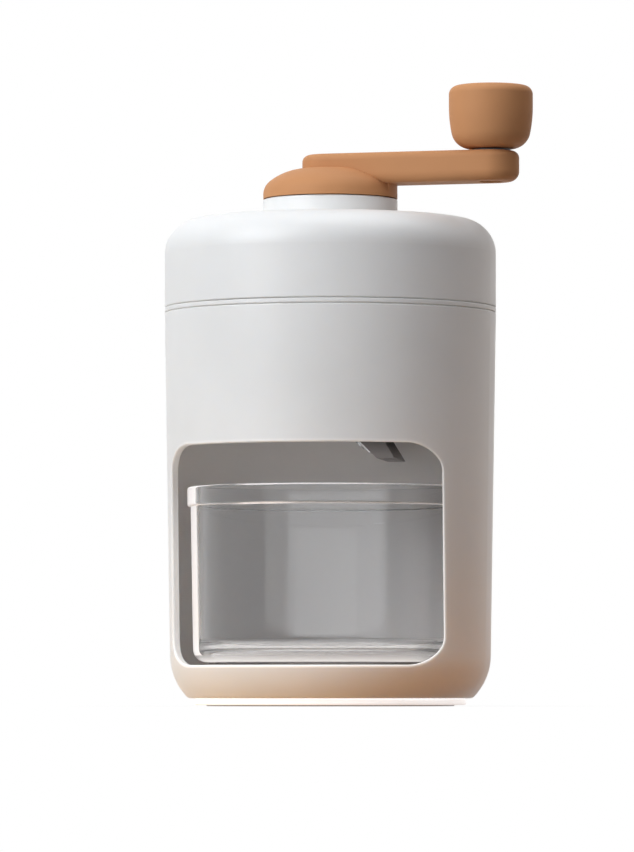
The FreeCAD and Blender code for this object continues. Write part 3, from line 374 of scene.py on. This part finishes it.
# %% Surroundings
FRONT_LIGHT = (0.34, 0.41, 0.50, 1.0)
REAR_LIGHT = (0.32, 0.32, 0.32, 1.0)
RIGHT_LIGHT = (0.13, 0.06, 0.015, 1.0)
FRONT_TURN = (-0.5, 0.8)         # from the rear light to the front light, by how far the ray looks forward
RIGHT_TURN = (0.0, 0.8)


def looking(paint, direction, low, high):
    """0 where a ray's part along the direction is below low, and 1 where it is above high."""
    ray = paint.node("ShaderNodeTexCoord", out="Generated")
    return paint.ramp(paint.vector("DOT_PRODUCT", ray, direction, out="Value"), low, high, 0.0, 1.0)


world = bpy.context.scene.world or bpy.data.worlds.new("studio")
bpy.context.scene.world = world
sky = Paint(world)
shed = sky.blend(looking(sky, TO_CAMERA, *FRONT_TURN), REAR_LIGHT, FRONT_LIGHT)
shed = sky.blend(looking(sky, TO_RIGHT, *RIGHT_TURN), shed, RIGHT_LIGHT)
white = sky.node("ShaderNodeBackground", {}, {"Color": PLAIN_WHITE, "Strength": 1.0})
soft = sky.node("ShaderNodeBackground", {}, {"Color": shed, "Strength": 1.0})
sky.output(sky.mix(white_seen_by(sky), soft, white), "ShaderNodeOutputWorld")
print("nodes in the world:", len(sky.tree.nodes))

# %% [markdown]
# ## Lamps
# One wide soft box to the left gives the body its roundness: bright on the left, falling off past the
# middle. A weaker one overhead lights the lid's shoulder. A lamp's power is worked out from the
# brightness it should give: a sheet of power P, seen from distance d, gives a white surface that faces
# it the brightness P / (pi d)^2.

# %% Soft boxes
BOX_SIDE = 0.9
BOX_TARGET = Vector((0.0, 0.0, 0.1))


def soft_box(name, spot, brightness):
    """A square lamp at `spot` that looks at the object and gives it this brightness head on."""
    lamp = bpy.data.lights.new(name, "AREA")
    lamp.shape = "SQUARE"
    lamp.size = BOX_SIDE
    lamp.energy = brightness * (pi * (spot - BOX_TARGET).length) ** 2
    box = bpy.data.objects.new(name, lamp)
    box.location = spot
    box.rotation_euler = (BOX_TARGET - spot).to_track_quat("-Z", "Y").to_euler()
    bpy.context.scene.collection.objects.link(box)
    print(name, "has", round(lamp.energy, 1), "W")


soft_box("key_light", studio_spot(forward=0.75, right=-0.95, up=0.75), brightness=0.70)
soft_box("top_light", studio_spot(forward=0.1, right=0.25, up=1.3), brightness=0.37)

# %% [markdown]
# Clear things live from what they mirror. Two white cards stand in front of the shaver, a wide one and
# a low narrow one before it. They are shown to mirror rays only, so they throw no light and hide
# nothing: every other kind of ray goes through them. In the round wall of the cup they are seen as
# upright bands.

# %% Mirror cards
def mirror_card(name, forward, half_width, top, strength):
    """An upright card, facing the object, that glows for mirror rays and is not there for others."""
    paint = new_paint(name)
    clear = paint.node("ShaderNodeBsdfTransparent", {}, {"Color": PLAIN_WHITE})
    glow = paint.node("ShaderNodeEmission", {}, {"Color": PLAIN_WHITE, "Strength": strength})
    corners = [[studio_spot(forward, side, up) for side in (-half_width, half_width)] for up in (0.0, top)]
    card = grid_piece(name, np.array(corners))
    card.data.materials.append(paint.output(
        paint.mix(paint.node("ShaderNodeLightPath", out="Is Glossy Ray"), clear, glow)))
    print(name, "is", 2 * half_width, "m wide")


mirror_card("wide_card", forward=1.0, half_width=1.33, top=0.40, strength=1.75)
mirror_card("low_card", forward=0.98, half_width=0.48, top=0.057, strength=2.2)

# %% [markdown]
# ## Finishes
# Each moulded material has two layers of detail: a slow drift of tone and roughness over the whole piece,
# and the fine grain that the mould leaves. Neither is strong, because a new kitchen tool is clean, but
# together they keep a surface from looking painted by a computer.
#
# The white plastic has more to it. Its inside is painted a lighter, warmer tone than its outside, which is
# painted light inside the housing, and there is light on the window's edge and in the seams. That light is
# painted on, as a little Emission Color. It is fixed on the piece and strongest on the side of the main
# view, so it doesn't follow the lamps, and it glows in the dark.
# Where the lamps are moved, it is better left out. The three functions below say where these places are,
# from nothing but the position on the piece. The first gives 1 on the inside and 0 elsewhere. The other
# two give the amount of light, which is 0 elsewhere too. Ramps make the borders soft.

# %% Where the housing's inside, window edge and seams are
INNER_FLOOR = (0.0143, 0.0146)   # the housing's inside starts between these heights
INNER_TOP = (0.105, 0.106)       # and ends between these
WALL_DRAFT = (0.0147, 0.026)     # between these heights the wall's middle
WALL_MIDDLE = (0.0551, 0.0567)   # goes from the one to the other of these distances from the axis
WALL_BLUR = 0.0002

WINDOW_CENTRE = (0.0, 0.0, 0.0541)
WINDOW_CORNER = 0.010
WINDOW_HALF = (0.0403, 0.0, 0.0294)      # half the window, less its corner
NOTHING = (0.0, 0.0, 0.0)
EDGE_REACH = 0.0013
EDGE_FRONT = (-0.022, -0.021)    # only what is nearer to the front than this along Y is window edge
JAMB_FALL, JAMB_LIGHT = (0.080, 0.050), (0.45, 1.0)      # heights on the jambs, and the light there
SILL_FALL, SILL_LIGHT = (0.020, 0.015), (1.0, 1.5)
LINTEL_RISE, LINTEL_LIGHT = (0.0925, 0.0932), (0.0, 0.5)
EDGE_RIGHT, EDGE_RIGHT_LIGHT = (0.0, 0.05), (1.0, 0.7)   # places along X, and the light there

SEAMS = ((0.1423, 0.1427), (0.1441, 0.1446))     # from and to which height the two seams go
SEAM_BLUR = 0.0001
SEAM_DEEP, SEAM_LIGHT = (0.0590, 0.0599), (0.30, 0.0)    # distances from the axis, and the light there
SEAM_RIGHT, SEAM_RIGHT_LIGHT = (-0.01, 0.05), (1.0, 0.4)
SEAM_REAR, SEAM_REAR_LIGHT = (-0.03, 0.01), (0.1, 1.0)


def inside_housing(paint):
    """1 on the housing's inner wall and floor, and 0 outside: nearer to the axis than the wall's middle."""
    height = paint.height()
    middle = paint.ramp(height, *WALL_DRAFT, *WALL_MIDDLE)
    within = paint.ramp(middle - paint.off_axis(), -WALL_BLUR, WALL_BLUR, 0.0, 1.0)
    return within * paint.ramp(height, *INNER_FLOOR, 0.0, 1.0) * paint.ramp(height, *INNER_TOP, 1.0, 0.0)


def window_edge(paint):
    """Painted light on the window's edge, fading to 0 a little way out, less up the jambs and to the right.

    The distance from an outline with rounded corners is |max(|p - c| - h, 0)| - r, where c is its centre,
    h its half size less the corner's radius r.
    """
    bent = paint.place(scale=(1.0, 0.0, 1.0))
    for operation, value in (("SUBTRACT", WINDOW_CENTRE), ("ABSOLUTE", NOTHING),
                             ("SUBTRACT", WINDOW_HALF), ("MAXIMUM", NOTHING)):
        bent = paint.vector(operation, bent, value)
    reach = paint.vector("LENGTH", bent, out="Value") - WINDOW_CORNER
    line = paint.ramp(reach, 0.0, EDGE_REACH, 1.0, 0.0) * paint.ramp(paint.axis("Y"), *EDGE_FRONT, 1.0, 0.0)
    height = paint.height()
    jambs = paint.ramp(height, *JAMB_FALL, *JAMB_LIGHT) * paint.ramp(height, *SILL_FALL, *SILL_LIGHT)
    lintel = paint.ramp(height, *LINTEL_RISE, *LINTEL_LIGHT)
    return line * (jambs | lintel) * paint.ramp(paint.axis("X"), *EDGE_RIGHT, *EDGE_RIGHT_LIGHT)


def seam_depth(paint):
    """Painted light in the two seams round the housing, less to the main view's right and behind."""
    height = paint.height()
    lower, upper = [paint.between(height, *seam, SEAM_BLUR) for seam in SEAMS]
    right = paint.ramp(paint.along(TO_RIGHT), *SEAM_RIGHT, *SEAM_RIGHT_LIGHT)
    rear = paint.ramp(paint.along(TO_CAMERA), *SEAM_REAR, *SEAM_REAR_LIGHT)
    return (lower | upper) * right * rear * paint.ramp(paint.off_axis(), *SEAM_DEEP, *SEAM_LIGHT)


# %% [markdown]
# One function makes every moulded plastic. Its settings are the colour, the roughness and the grain, so
# that the finishes can be read side by side where it is called. Subsurface gives the white plastic its
# soft look: light goes in, spreads a few millimetres and comes out again.

# %% Moulded plastics
PLASTIC_IOR = 1.49
DRIFT_SIZE = 0.045               # the blobs of the slow drift
DRIFT_ROUGH = 0.03
GRAIN_SHARE = 0.1                # how much the grain changes a roughness or a tone
SOFT_SHARE, SOFT_REACH = 0.35, 0.003     # the part of the light that spreads inside, and how far
SOFT_COLOUR = (1.0, 0.9, 0.8)            # how far red, green and blue go, as shares of the reach
NO_LIGHT = (0.0, 0.0, 0.0, 1.0)
EDGE_LIGHT = (0.34, 0.33, 0.32, 1.0)


def moulded(name, colour, roughness, grain_size, grain_depth, drift=0.03, gloss=0.5, inner_light_tint=None):
    """Opaque moulded plastic with a slow drift of tone and the mould's fine grain.

    With an inner tone it is the white plastic: light spreads some way inside it, emission paints light
    on the window's edge and in the seams, and the inside of the housing has that tone, lighter and warmer
    than the outside as painted light.
    """
    paint = new_paint(name)
    slow = paint.noise(DRIFT_SIZE, detail=3.0)
    grain = paint.noise(grain_size)
    light = tuple(min(1.0, part * (1 + drift)) for part in colour) + (1.0,)
    dark = tuple(part * (1 - drift) for part in colour) + (1.0,)
    tone = paint.blend(paint.spread(slow, 0.0, 1.0), dark, light)
    rough = paint.spread(slow, roughness - DRIFT_ROUGH, roughness + DRIFT_ROUGH)
    sockets = {"Roughness": rough + (grain - 0.5) * GRAIN_SHARE, "Normal": paint.bump(grain, grain_depth),
               "IOR": PLASTIC_IOR, "Specular IOR Level": gloss}
    if inner_light_tint:
        # The inside's lighter, warmer tone is painted light inside the housing.
        tone = paint.blend(inside_housing(paint), tone, inner_light_tint + (1.0,))
        edge = paint.blend(window_edge(paint) + seam_depth(paint), NO_LIGHT, EDGE_LIGHT)
        sockets.update({"Subsurface Weight": SOFT_SHARE, "Subsurface Radius": SOFT_COLOUR,
                        "Subsurface Scale": SOFT_REACH, "Emission Color": edge, "Emission Strength": 1.0})
    sockets["Base Color"] = tone
    return paint.output(paint.node("ShaderNodeBsdfPrincipled", {}, sockets))


# %% [markdown]
# Clear plastic is easy to get wrong. The clean wall bends light and has almost no colour of its own. Its
# floor is moulded frosted, so it is a little milky, with a faint painted glow, and the foot ring below it is
# tinted dark as a painted shadow of the gap under the cup. Where the wall is seen edge on it is painted
# white:
# Layer Weight finds the places where the surface turns away from the eye, and a milky shader with some
# emission takes over there, a painted highlight. The gleam along the rim's corners is painted on with the
# same shader. It is fixed on the cup, on the side of the main view.

# %% Clear plastic
CUP_AXIS = (0.0, -0.006, 0.0)
OUTER_WALL = (0.0468, 0.0474)    # the cup's outer side lies beyond these distances from its axis
RIM_FOOT = 0.0715                # the rim's band starts at this height
EDGE_OF_WALL = (0.69, 0.72)      # how far the wall is turned away where it starts to look white
EDGE_OF_RIM = (0.64, 0.67)

LOW_CORNER, CORNER_BLUR = (0.0717, 0.0723), 0.0002       # from and to which height the rim's low corner goes
HIGH_CORNER, HIGH_LIGHT = (0.0784, 0.0786), (0.0, 0.8)
GLEAM_LEFT, GLEAM_LEFT_LIGHT = (-0.036, -0.030), (0.0, 1.0)      # places to the right, and the light there
LOW_RIGHT, HIGH_RIGHT, RIGHT_GLEAM = (-0.018, -0.010), (0.012, 0.024), (1.0, 0.3)
GLEAM_NEAR = (0.02, 0.03)        # the gleam is only on the side towards the eye

FOOT_RING, RING_BLUR = 0.0158, 0.0001
FROST, FROST_SHARE = (0.0162, 0.0198), 0.6       # the floor is milky up to these heights
CLEAR_TINT = (0.865, 0.872, 0.885, 1.0)
# Below the foot ring's top the cup is tinted dark: painted shadow of the gap under the cup.
FOOT_SHADOW_TINT = (0.30, 0.28, 0.27, 1.0)
MILK_TINT = (0.90, 0.88, 0.87, 1.0)
MILK_ROUGH = 0.4
# The milky shader's emission is painted light: a faint glow on the frosted floor, and a white one at the
# wall's edges and along the rim's corners.
FLOOR_GLOW = (0.06, 0.055, 0.05, 1.0)
EDGE_GLOW = (0.31, 0.29, 0.29, 1.0)
EDGE_SHARE = 0.9
FLOW_SIZE, FLOW_STRETCH, FLOW_DEPTH = 0.02, (1.0, 1.0, 0.3), 0.000004    # how the plastic ran in the mould
SMUDGE_SIZE, SMUDGE_ROUGH = 0.012, 0.03
LAMP_TINT = (0.80, 0.80, 0.80, 1.0)      # what is left of lamplight behind a wall


def wall_edge(paint):
    """Where the painted white edge glow goes: 1 where the outer side is seen so slantwise that the eye looks
    along the wall, and 0 elsewhere.
    """
    outer = paint.ramp(paint.off_axis(CUP_AXIS), *OUTER_WALL, 0.0, 1.0)
    away = paint.node("ShaderNodeLayerWeight", {}, {"Blend": 0.5}, out="Facing")
    rim = paint.ramp(paint.height(), RIM_FOOT, RIM_FOOT + MM, 0.0, 1.0)
    wall = paint.ramp(away, *EDGE_OF_WALL, 0.0, 1.0) * (1.0 - rim)
    band = paint.ramp(away, *EDGE_OF_RIM, 0.0, 1.0) * rim
    behind = paint.node("ShaderNodeNewGeometry", out="Backfacing")
    return (wall + band) * outer * (1.0 - behind)


def rim_gleam(paint):
    """A painted gleam along the rim's two corners, towards the main view and its left, and 0 elsewhere."""
    right, height = paint.along(TO_RIGHT), paint.height()
    low = paint.between(height, *LOW_CORNER, CORNER_BLUR) * paint.ramp(right, *LOW_RIGHT, *RIGHT_GLEAM)
    high = paint.ramp(height, *HIGH_CORNER, *HIGH_LIGHT) * paint.ramp(right, *HIGH_RIGHT, *RIGHT_GLEAM)
    near = paint.ramp(paint.along(TO_CAMERA), *GLEAM_NEAR, 0.0, 1.0)
    return (low | high) * paint.ramp(right, *GLEAM_LEFT, *GLEAM_LEFT_LIGHT) * near


def clear_plastic():
    """Clear polished plastic. Rays from lamps go straight through, so that what it holds is lit."""
    paint = new_paint("clear_plastic")
    flow = paint.noise(FLOW_SIZE, place=paint.place(scale=FLOW_STRETCH))
    smudge = paint.noise(SMUDGE_SIZE, detail=4.0)
    # The foot ring is tinted dark below its top: painted shadow.
    ring = paint.ramp(paint.height(), FOOT_RING - RING_BLUR, FOOT_RING, 1.0, 0.0)
    glass = paint.node("ShaderNodeBsdfPrincipled", {}, {
        "Base Color": paint.blend(ring, CLEAR_TINT, FOOT_SHADOW_TINT), "IOR": PLASTIC_IOR,
        "Roughness": paint.spread(smudge, 0.0, SMUDGE_ROUGH), "Transmission Weight": 1.0,
        "Normal": paint.bump(flow, FLOW_DEPTH)})
    edge = (wall_edge(paint) | rim_gleam(paint)) * EDGE_SHARE
    # The milky shader glows with emission: painted light at the wall's edges, the rim's corners and the
    # frosted floor.
    milk = paint.node("ShaderNodeBsdfPrincipled", {}, {
        "Base Color": MILK_TINT, "Roughness": MILK_ROUGH,
        "Emission Color": paint.blend(edge, FLOOR_GLOW, EDGE_GLOW), "Emission Strength": 1.0})
    # The frosted floor is milky, and its faint glow is painted light.
    frost = paint.ramp(paint.height(), *FROST, FROST_SHARE, 0.0) * (1.0 - ring)
    through = paint.node("ShaderNodeBsdfTransparent", {}, {"Color": LAMP_TINT})
    shadow = paint.node("ShaderNodeLightPath", out="Is Shadow Ray")
    return paint.output(paint.mix(shadow, paint.mix(edge | frost, glass, milk), through))


# %% [markdown]
# Two pieces have a finish of their own. The base plate is milky and shows as a bright line round the
# foot. On the real one that is the white table's light, gathered inside the plastic. Here emission stands
# in for it, so the plate glows in the dark too. The blade's holder is grey and darker towards the top:
# painted shade under the hopper's floor.

# %% Milky and shaded plastic
FINE_GRAIN = 0.0005
CLOUD_SIZE, CLOUD_ROUGH = 0.008, (0.42, 0.52)
MILKY = (0.75, 0.76, 0.78, 1.0)
MILKY_GRAIN = 0.000006
MILKY_GLOW = (0.94, 0.93, 0.92, 1.0)
# The glow is dimmed at the plate's lowest edge, a thin painted shade line at the foot.
DIM_GLOW = (0.3, 0.3, 0.3, 1.0)
DIM_HEIGHTS, DIM_SHARE = (0.0004, 0.0011), 0.5   # the glow is dimmed this far above the table
GLOW_STRENGTH = 0.7
# The holder's grey darkens upwards: painted shade under the hopper's floor.
HOLDER_LOW = (0.36, 0.33, 0.32, 1.0)
HOLDER_HIGH = (0.10, 0.09, 0.09, 1.0)
HOLDER_HEIGHTS = (0.0915, 0.0975)
HOLDER_GRAIN = 0.00001
HOLDER_ROUGH = 0.5


def frosted_plastic():
    """Milky plastic, with emission for the light that it would gather from a white table."""
    paint = new_paint("frosted_plastic")
    cloud = paint.spread(paint.noise(CLOUD_SIZE, detail=3.0), 0.0, 1.0)
    glow = paint.blend(cloud, MILKY_GLOW, PLAIN_WHITE)
    glow = paint.blend(paint.ramp(paint.height(), *DIM_HEIGHTS, DIM_SHARE, 0.0), glow, DIM_GLOW)
    return paint.output(paint.node("ShaderNodeBsdfPrincipled", {}, {
        "Base Color": MILKY, "Roughness": paint.ramp(cloud, 0.0, 1.0, *CLOUD_ROUGH),
        "Normal": paint.bump(paint.noise(FINE_GRAIN), MILKY_GRAIN),
        "Emission Color": glow, "Emission Strength": GLOW_STRENGTH}))


def shaded_plastic():
    """Grey plastic, painted darker towards the top as shade under the hopper's floor."""
    paint = new_paint("shaded_plastic")
    grain = paint.noise(FINE_GRAIN)
    shade = paint.ramp(paint.height(), *HOLDER_HEIGHTS, 0.0, 1.0) + (grain - 0.5) * GRAIN_SHARE
    return paint.output(paint.node("ShaderNodeBsdfPrincipled", {}, {
        "Base Color": paint.blend(shade, HOLDER_LOW, HOLDER_HIGH),
        "Roughness": grain * GRAIN_SHARE + HOLDER_ROUGH, "Normal": paint.bump(grain, HOLDER_GRAIN)}))


# %% [markdown]
# Steel gets its grain from grinding: fine parallel lines, which are noise squeezed along one axis and
# drawn out along another.

# %% Steels
LINE_SIZE, LINE_DEPTH = 0.001, 0.000006
LINE_DULL = 0.86                 # the tone in a line, as a share of the steel's own
LINE_ROUGH = (-0.06, 0.08)       # how much the lines change the roughness
STAIN_SIZE, STAIN_ROUGH = 0.01, 0.08


def ground_steel(name, colour, roughness, lines):
    """Steel with fine grinding lines that run where the place is stretched least."""
    paint = new_paint(name)
    stroke = paint.noise(LINE_SIZE, detail=3.0, place=paint.place(scale=lines))
    stain = paint.noise(STAIN_SIZE)
    dull = tuple(part * LINE_DULL for part in colour) + (1.0,)
    rough = paint.spread(stroke, roughness + LINE_ROUGH[0], roughness + LINE_ROUGH[1])
    return paint.output(paint.node("ShaderNodeBsdfPrincipled", {}, {
        "Base Color": paint.blend(paint.spread(stroke, 0.0, 1.0), dull, colour + (1.0,)), "Metallic": 1.0,
        "Roughness": rough + (stain - 0.5) * STAIN_ROUGH, "Normal": paint.bump(stroke, LINE_DEPTH)}))


# %% [markdown]
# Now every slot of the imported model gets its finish. A slot is a material of the record, and
# several pieces share one, so each finish is made once.

# %% Every slot gets its finish
FINISH = {
    "white_plastic": moulded("white_plastic", (0.83, 0.83, 0.82), roughness=0.36, grain_size=0.0006,
                             grain_depth=0.000008, inner_light_tint=(0.90, 0.865, 0.835)),
    "tan_plastic": moulded("tan_plastic", (0.57, 0.275, 0.125), roughness=0.55, grain_size=0.0007,
                           grain_depth=0.00002, drift=0.05, gloss=0.12),
    "clear_plastic": clear_plastic(),
    "blade_steel": ground_steel("blade_steel", (0.66, 0.67, 0.68), roughness=0.24, lines=(12.0, 0.6, 12.0)),
    "steel": ground_steel("steel", (0.58, 0.58, 0.59), roughness=0.3, lines=(6.0, 6.0, 6.0)),
    "dark_plastic": moulded("dark_plastic", (0.05, 0.05, 0.052), roughness=0.5, grain_size=0.0004,
                            grain_depth=0.00002, drift=0.1),
    "bearing_plastic": moulded("bearing_plastic", (0.74, 0.73, 0.68), roughness=0.4, grain_size=0.0005,
                               grain_depth=0.000008),
    "silicone": moulded("silicone", (0.45, 0.48, 0.53), roughness=0.5, grain_size=0.0005,
                        grain_depth=0.00001),
}
OWN_FINISH = {"base_plate": frosted_plastic(), "blade_holder": shaded_plastic()}
for name, node in frame["nodes"].items():
    node.data.materials.clear()
    node.data.materials.append(OWN_FINISH.get(name, FINISH[SLOT_OF[name]]))
print("finishes:", sorted(FINISH))

# %% [markdown]
# ## The cup
# The cup is a turned piece: one outline, from the middle of its inner floor over the rim to the middle
# of its foot. A clear piece shows every flaw of its mesh, because light bends at both of its faces, so
# it is made anew here with many more points round each edge than the CAD mesh has. Its sizes are read
# from the CAD node's box where the box shows them, and the walls are the drawing's.

# %% Cup
CUP_WALL = 2.4
CUP_FLOOR = 4.7                  # from the foot to the inner floor
CUP_BAND_STEP, CUP_BAND = 1.2, 7.0
CUP_TAPER = 1.0
CUP_BASE_ROUND, CUP_RIM_ROUND = 4.8, 0.8
CUP_FOOT_INSET, CUP_FOOT = 0.7, 0.8
EDGE = 0.15                      # the smallest round that a mould leaves


def cup_outline():
    """The wall's closed outline (r, z), inner side up and outer side down."""
    low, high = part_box("cup")
    bottom, top = low[2] / MM, high[2] / MM
    rim = (high[0] - low[0]) / 2 / MM
    step = rim - CUP_BAND_STEP
    base = step - CUP_TAPER
    foot = base - CUP_BASE_ROUND - CUP_FOOT_INSET
    floor, under = bottom + CUP_FLOOR, bottom + CUP_FOOT
    return rounded([(0.0, floor, 0.0), (base - CUP_WALL, floor, CUP_BASE_ROUND),
                    (step - CUP_WALL, top, CUP_RIM_ROUND), (rim, top, CUP_RIM_ROUND),
                    (rim, top - CUP_BAND, CUP_RIM_ROUND), (step, top - CUP_BAND, EDGE),
                    (base, under, CUP_BASE_ROUND), (foot, under, EDGE), (foot, bottom, EDGE),
                    (foot - CUP_WALL, bottom, EDGE), (foot - CUP_WALL, under, EDGE), (0.0, under, 0.0)])


cup_low, cup_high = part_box("cup")
cup = turned("clear_cup", cup_outline(), (0.0, (cup_low[1] + cup_high[1]) / 2))
finished(cup, "cup", "cup", FINISH["clear_plastic"])

# %% [markdown]
# ## The presser's spring
# Under the lid a coil spring pushes the presser down on the ice. A real one ends in flat coils, where the
# wire lies against itself. The coil is a circle carried along a helix whose pitch grows from nothing and
# falls back to nothing.

# %% Spring
SPRING_WIRE = 1.1
SPRING_COILS = 9.0
FLAT_COILS = 1.0                 # at each end
FLAT_ROWS = 20                   # rows over which the pitch changes, at each side of a bend in it


def spring_points(rows=900, columns=14):
    """c(t) + w (cos b e + sin b f), with t along the helix c and b round the wire.

    c is (R cos t, R sin t, z), e points outwards from the axis, and f is the helix's direction crossed
    with e. z rises by one wire in a flat coil and evenly between the flat coils, and a running mean over z
    makes the change of pitch soft.
    """
    low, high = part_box("presser_spring")
    wire = SPRING_WIRE * MM / 2
    reach = (high[0] - low[0]) / 2 - wire
    coil = np.linspace(0.0, SPRING_COILS, rows)
    knots = [0.0, FLAT_COILS, SPRING_COILS - FLAT_COILS, SPRING_COILS]
    rise = [low[2] + wire, low[2] + 3 * wire, high[2] - 3 * wire, high[2] - wire]
    z = np.interp(coil, knots, rise)
    window = 2 * FLAT_ROWS + 1
    z = np.convolve(np.pad(z, FLAT_ROWS, mode="edge"), np.full(window, 1 / window), mode="valid")
    t = 2 * pi * coil
    outward = np.stack([np.cos(t), np.sin(t), 0 * t], axis=-1)
    line = np.stack([reach * np.cos(t), reach * np.sin(t), z], axis=-1)
    forward = np.gradient(line, axis=0)
    beside = np.cross(forward, outward)
    beside /= np.linalg.norm(beside, axis=1, keepdims=True)
    b = np.linspace(0.0, 2 * pi, columns, endpoint=False)[None, :, None]
    girth = np.ones((rows, 1, 1)) * wire
    girth[[0, -1]] = 0.0
    return line[:, None] + girth * (np.cos(b) * outward[:, None] + np.sin(b) * beside[:, None])


spring = grid_piece("coil_spring", spring_points(), columns_close=True)
finished(spring, "crank", "presser_spring", FINISH[SLOT_OF["presser_spring"]])
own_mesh(spring)

# %% [markdown]
# ## Seal and foot
# Two soft rings finish the shaver. The lid's seal has three thin lips, which bend in the hopper's mouth,
# and the foot pad has fine concentric ribs that keep it from sliding. Both are waves on the side of a
# plain outline.

# %% Lip seal
SEAL_LIPS = 3
LIP_DEPTH = 0.45
SEAL_WIDTH = 1.5


def seal_outline(steps=60):
    """Outer side r = R - d (1 - |sin(pi n s)|), for s from 0 to 1 up the seal, and a straight inner side."""
    low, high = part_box("lid_seal")
    outer = (high[0] - low[0]) / 2
    inner = outer - SEAL_WIDTH * MM
    s = np.linspace(0.0, 1.0, steps)
    r = outer - LIP_DEPTH * MM * (1.0 - np.abs(np.sin(pi * SEAL_LIPS * s)))
    z = low[2] + (high[2] - low[2]) * s
    side = np.stack([r, z], axis=-1)
    back = np.array([[inner, high[2]], [inner, low[2]]])
    return np.concatenate([side, back])


seal = turned("lip_seal", seal_outline(), columns=192)
finished(seal, "lid", "lid_seal", FINISH["silicone"])

# %% [markdown]
# The pad is turned from its axis outwards, so its outline is open: it starts and ends on the axis, and
# both ends become poles. The absolute value of a sine has sharp low points and round high ones. On the
# pad's underside these are sharp ribs, which stand on the table, and round grooves between them.

# %% Ribbed foot pad
RIB_PITCH = 1.5
RIB_DEPTH = 0.2
PAD_ROUND = 0.6


def pad_outline(steps=400):
    """Underside z = d |sin(pi r / p)| from the middle out to the rim, then up the rim and back on top."""
    low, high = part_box("foot_pad")
    rim = (high[0] - low[0]) / 2
    bend = PAD_ROUND * MM
    r = np.linspace(0.0, rim - bend, steps)
    under = np.stack([r, low[2] + RIB_DEPTH * MM * np.abs(np.sin(pi * r / (RIB_PITCH * MM)))], axis=-1)
    a = np.linspace(-pi / 2, 0.0, 8)[1:]
    curve = np.stack([rim - bend + bend * np.cos(a), low[2] + bend * (1 + np.sin(a))], axis=-1)
    top = np.array([[rim, high[2]], [0.0, high[2]]])
    return np.concatenate([under, curve, top])


foot = turned("ribbed_foot", pad_outline(), columns=160, closed=False)
finished(foot, "housing", "foot_pad", FINISH["silicone"])
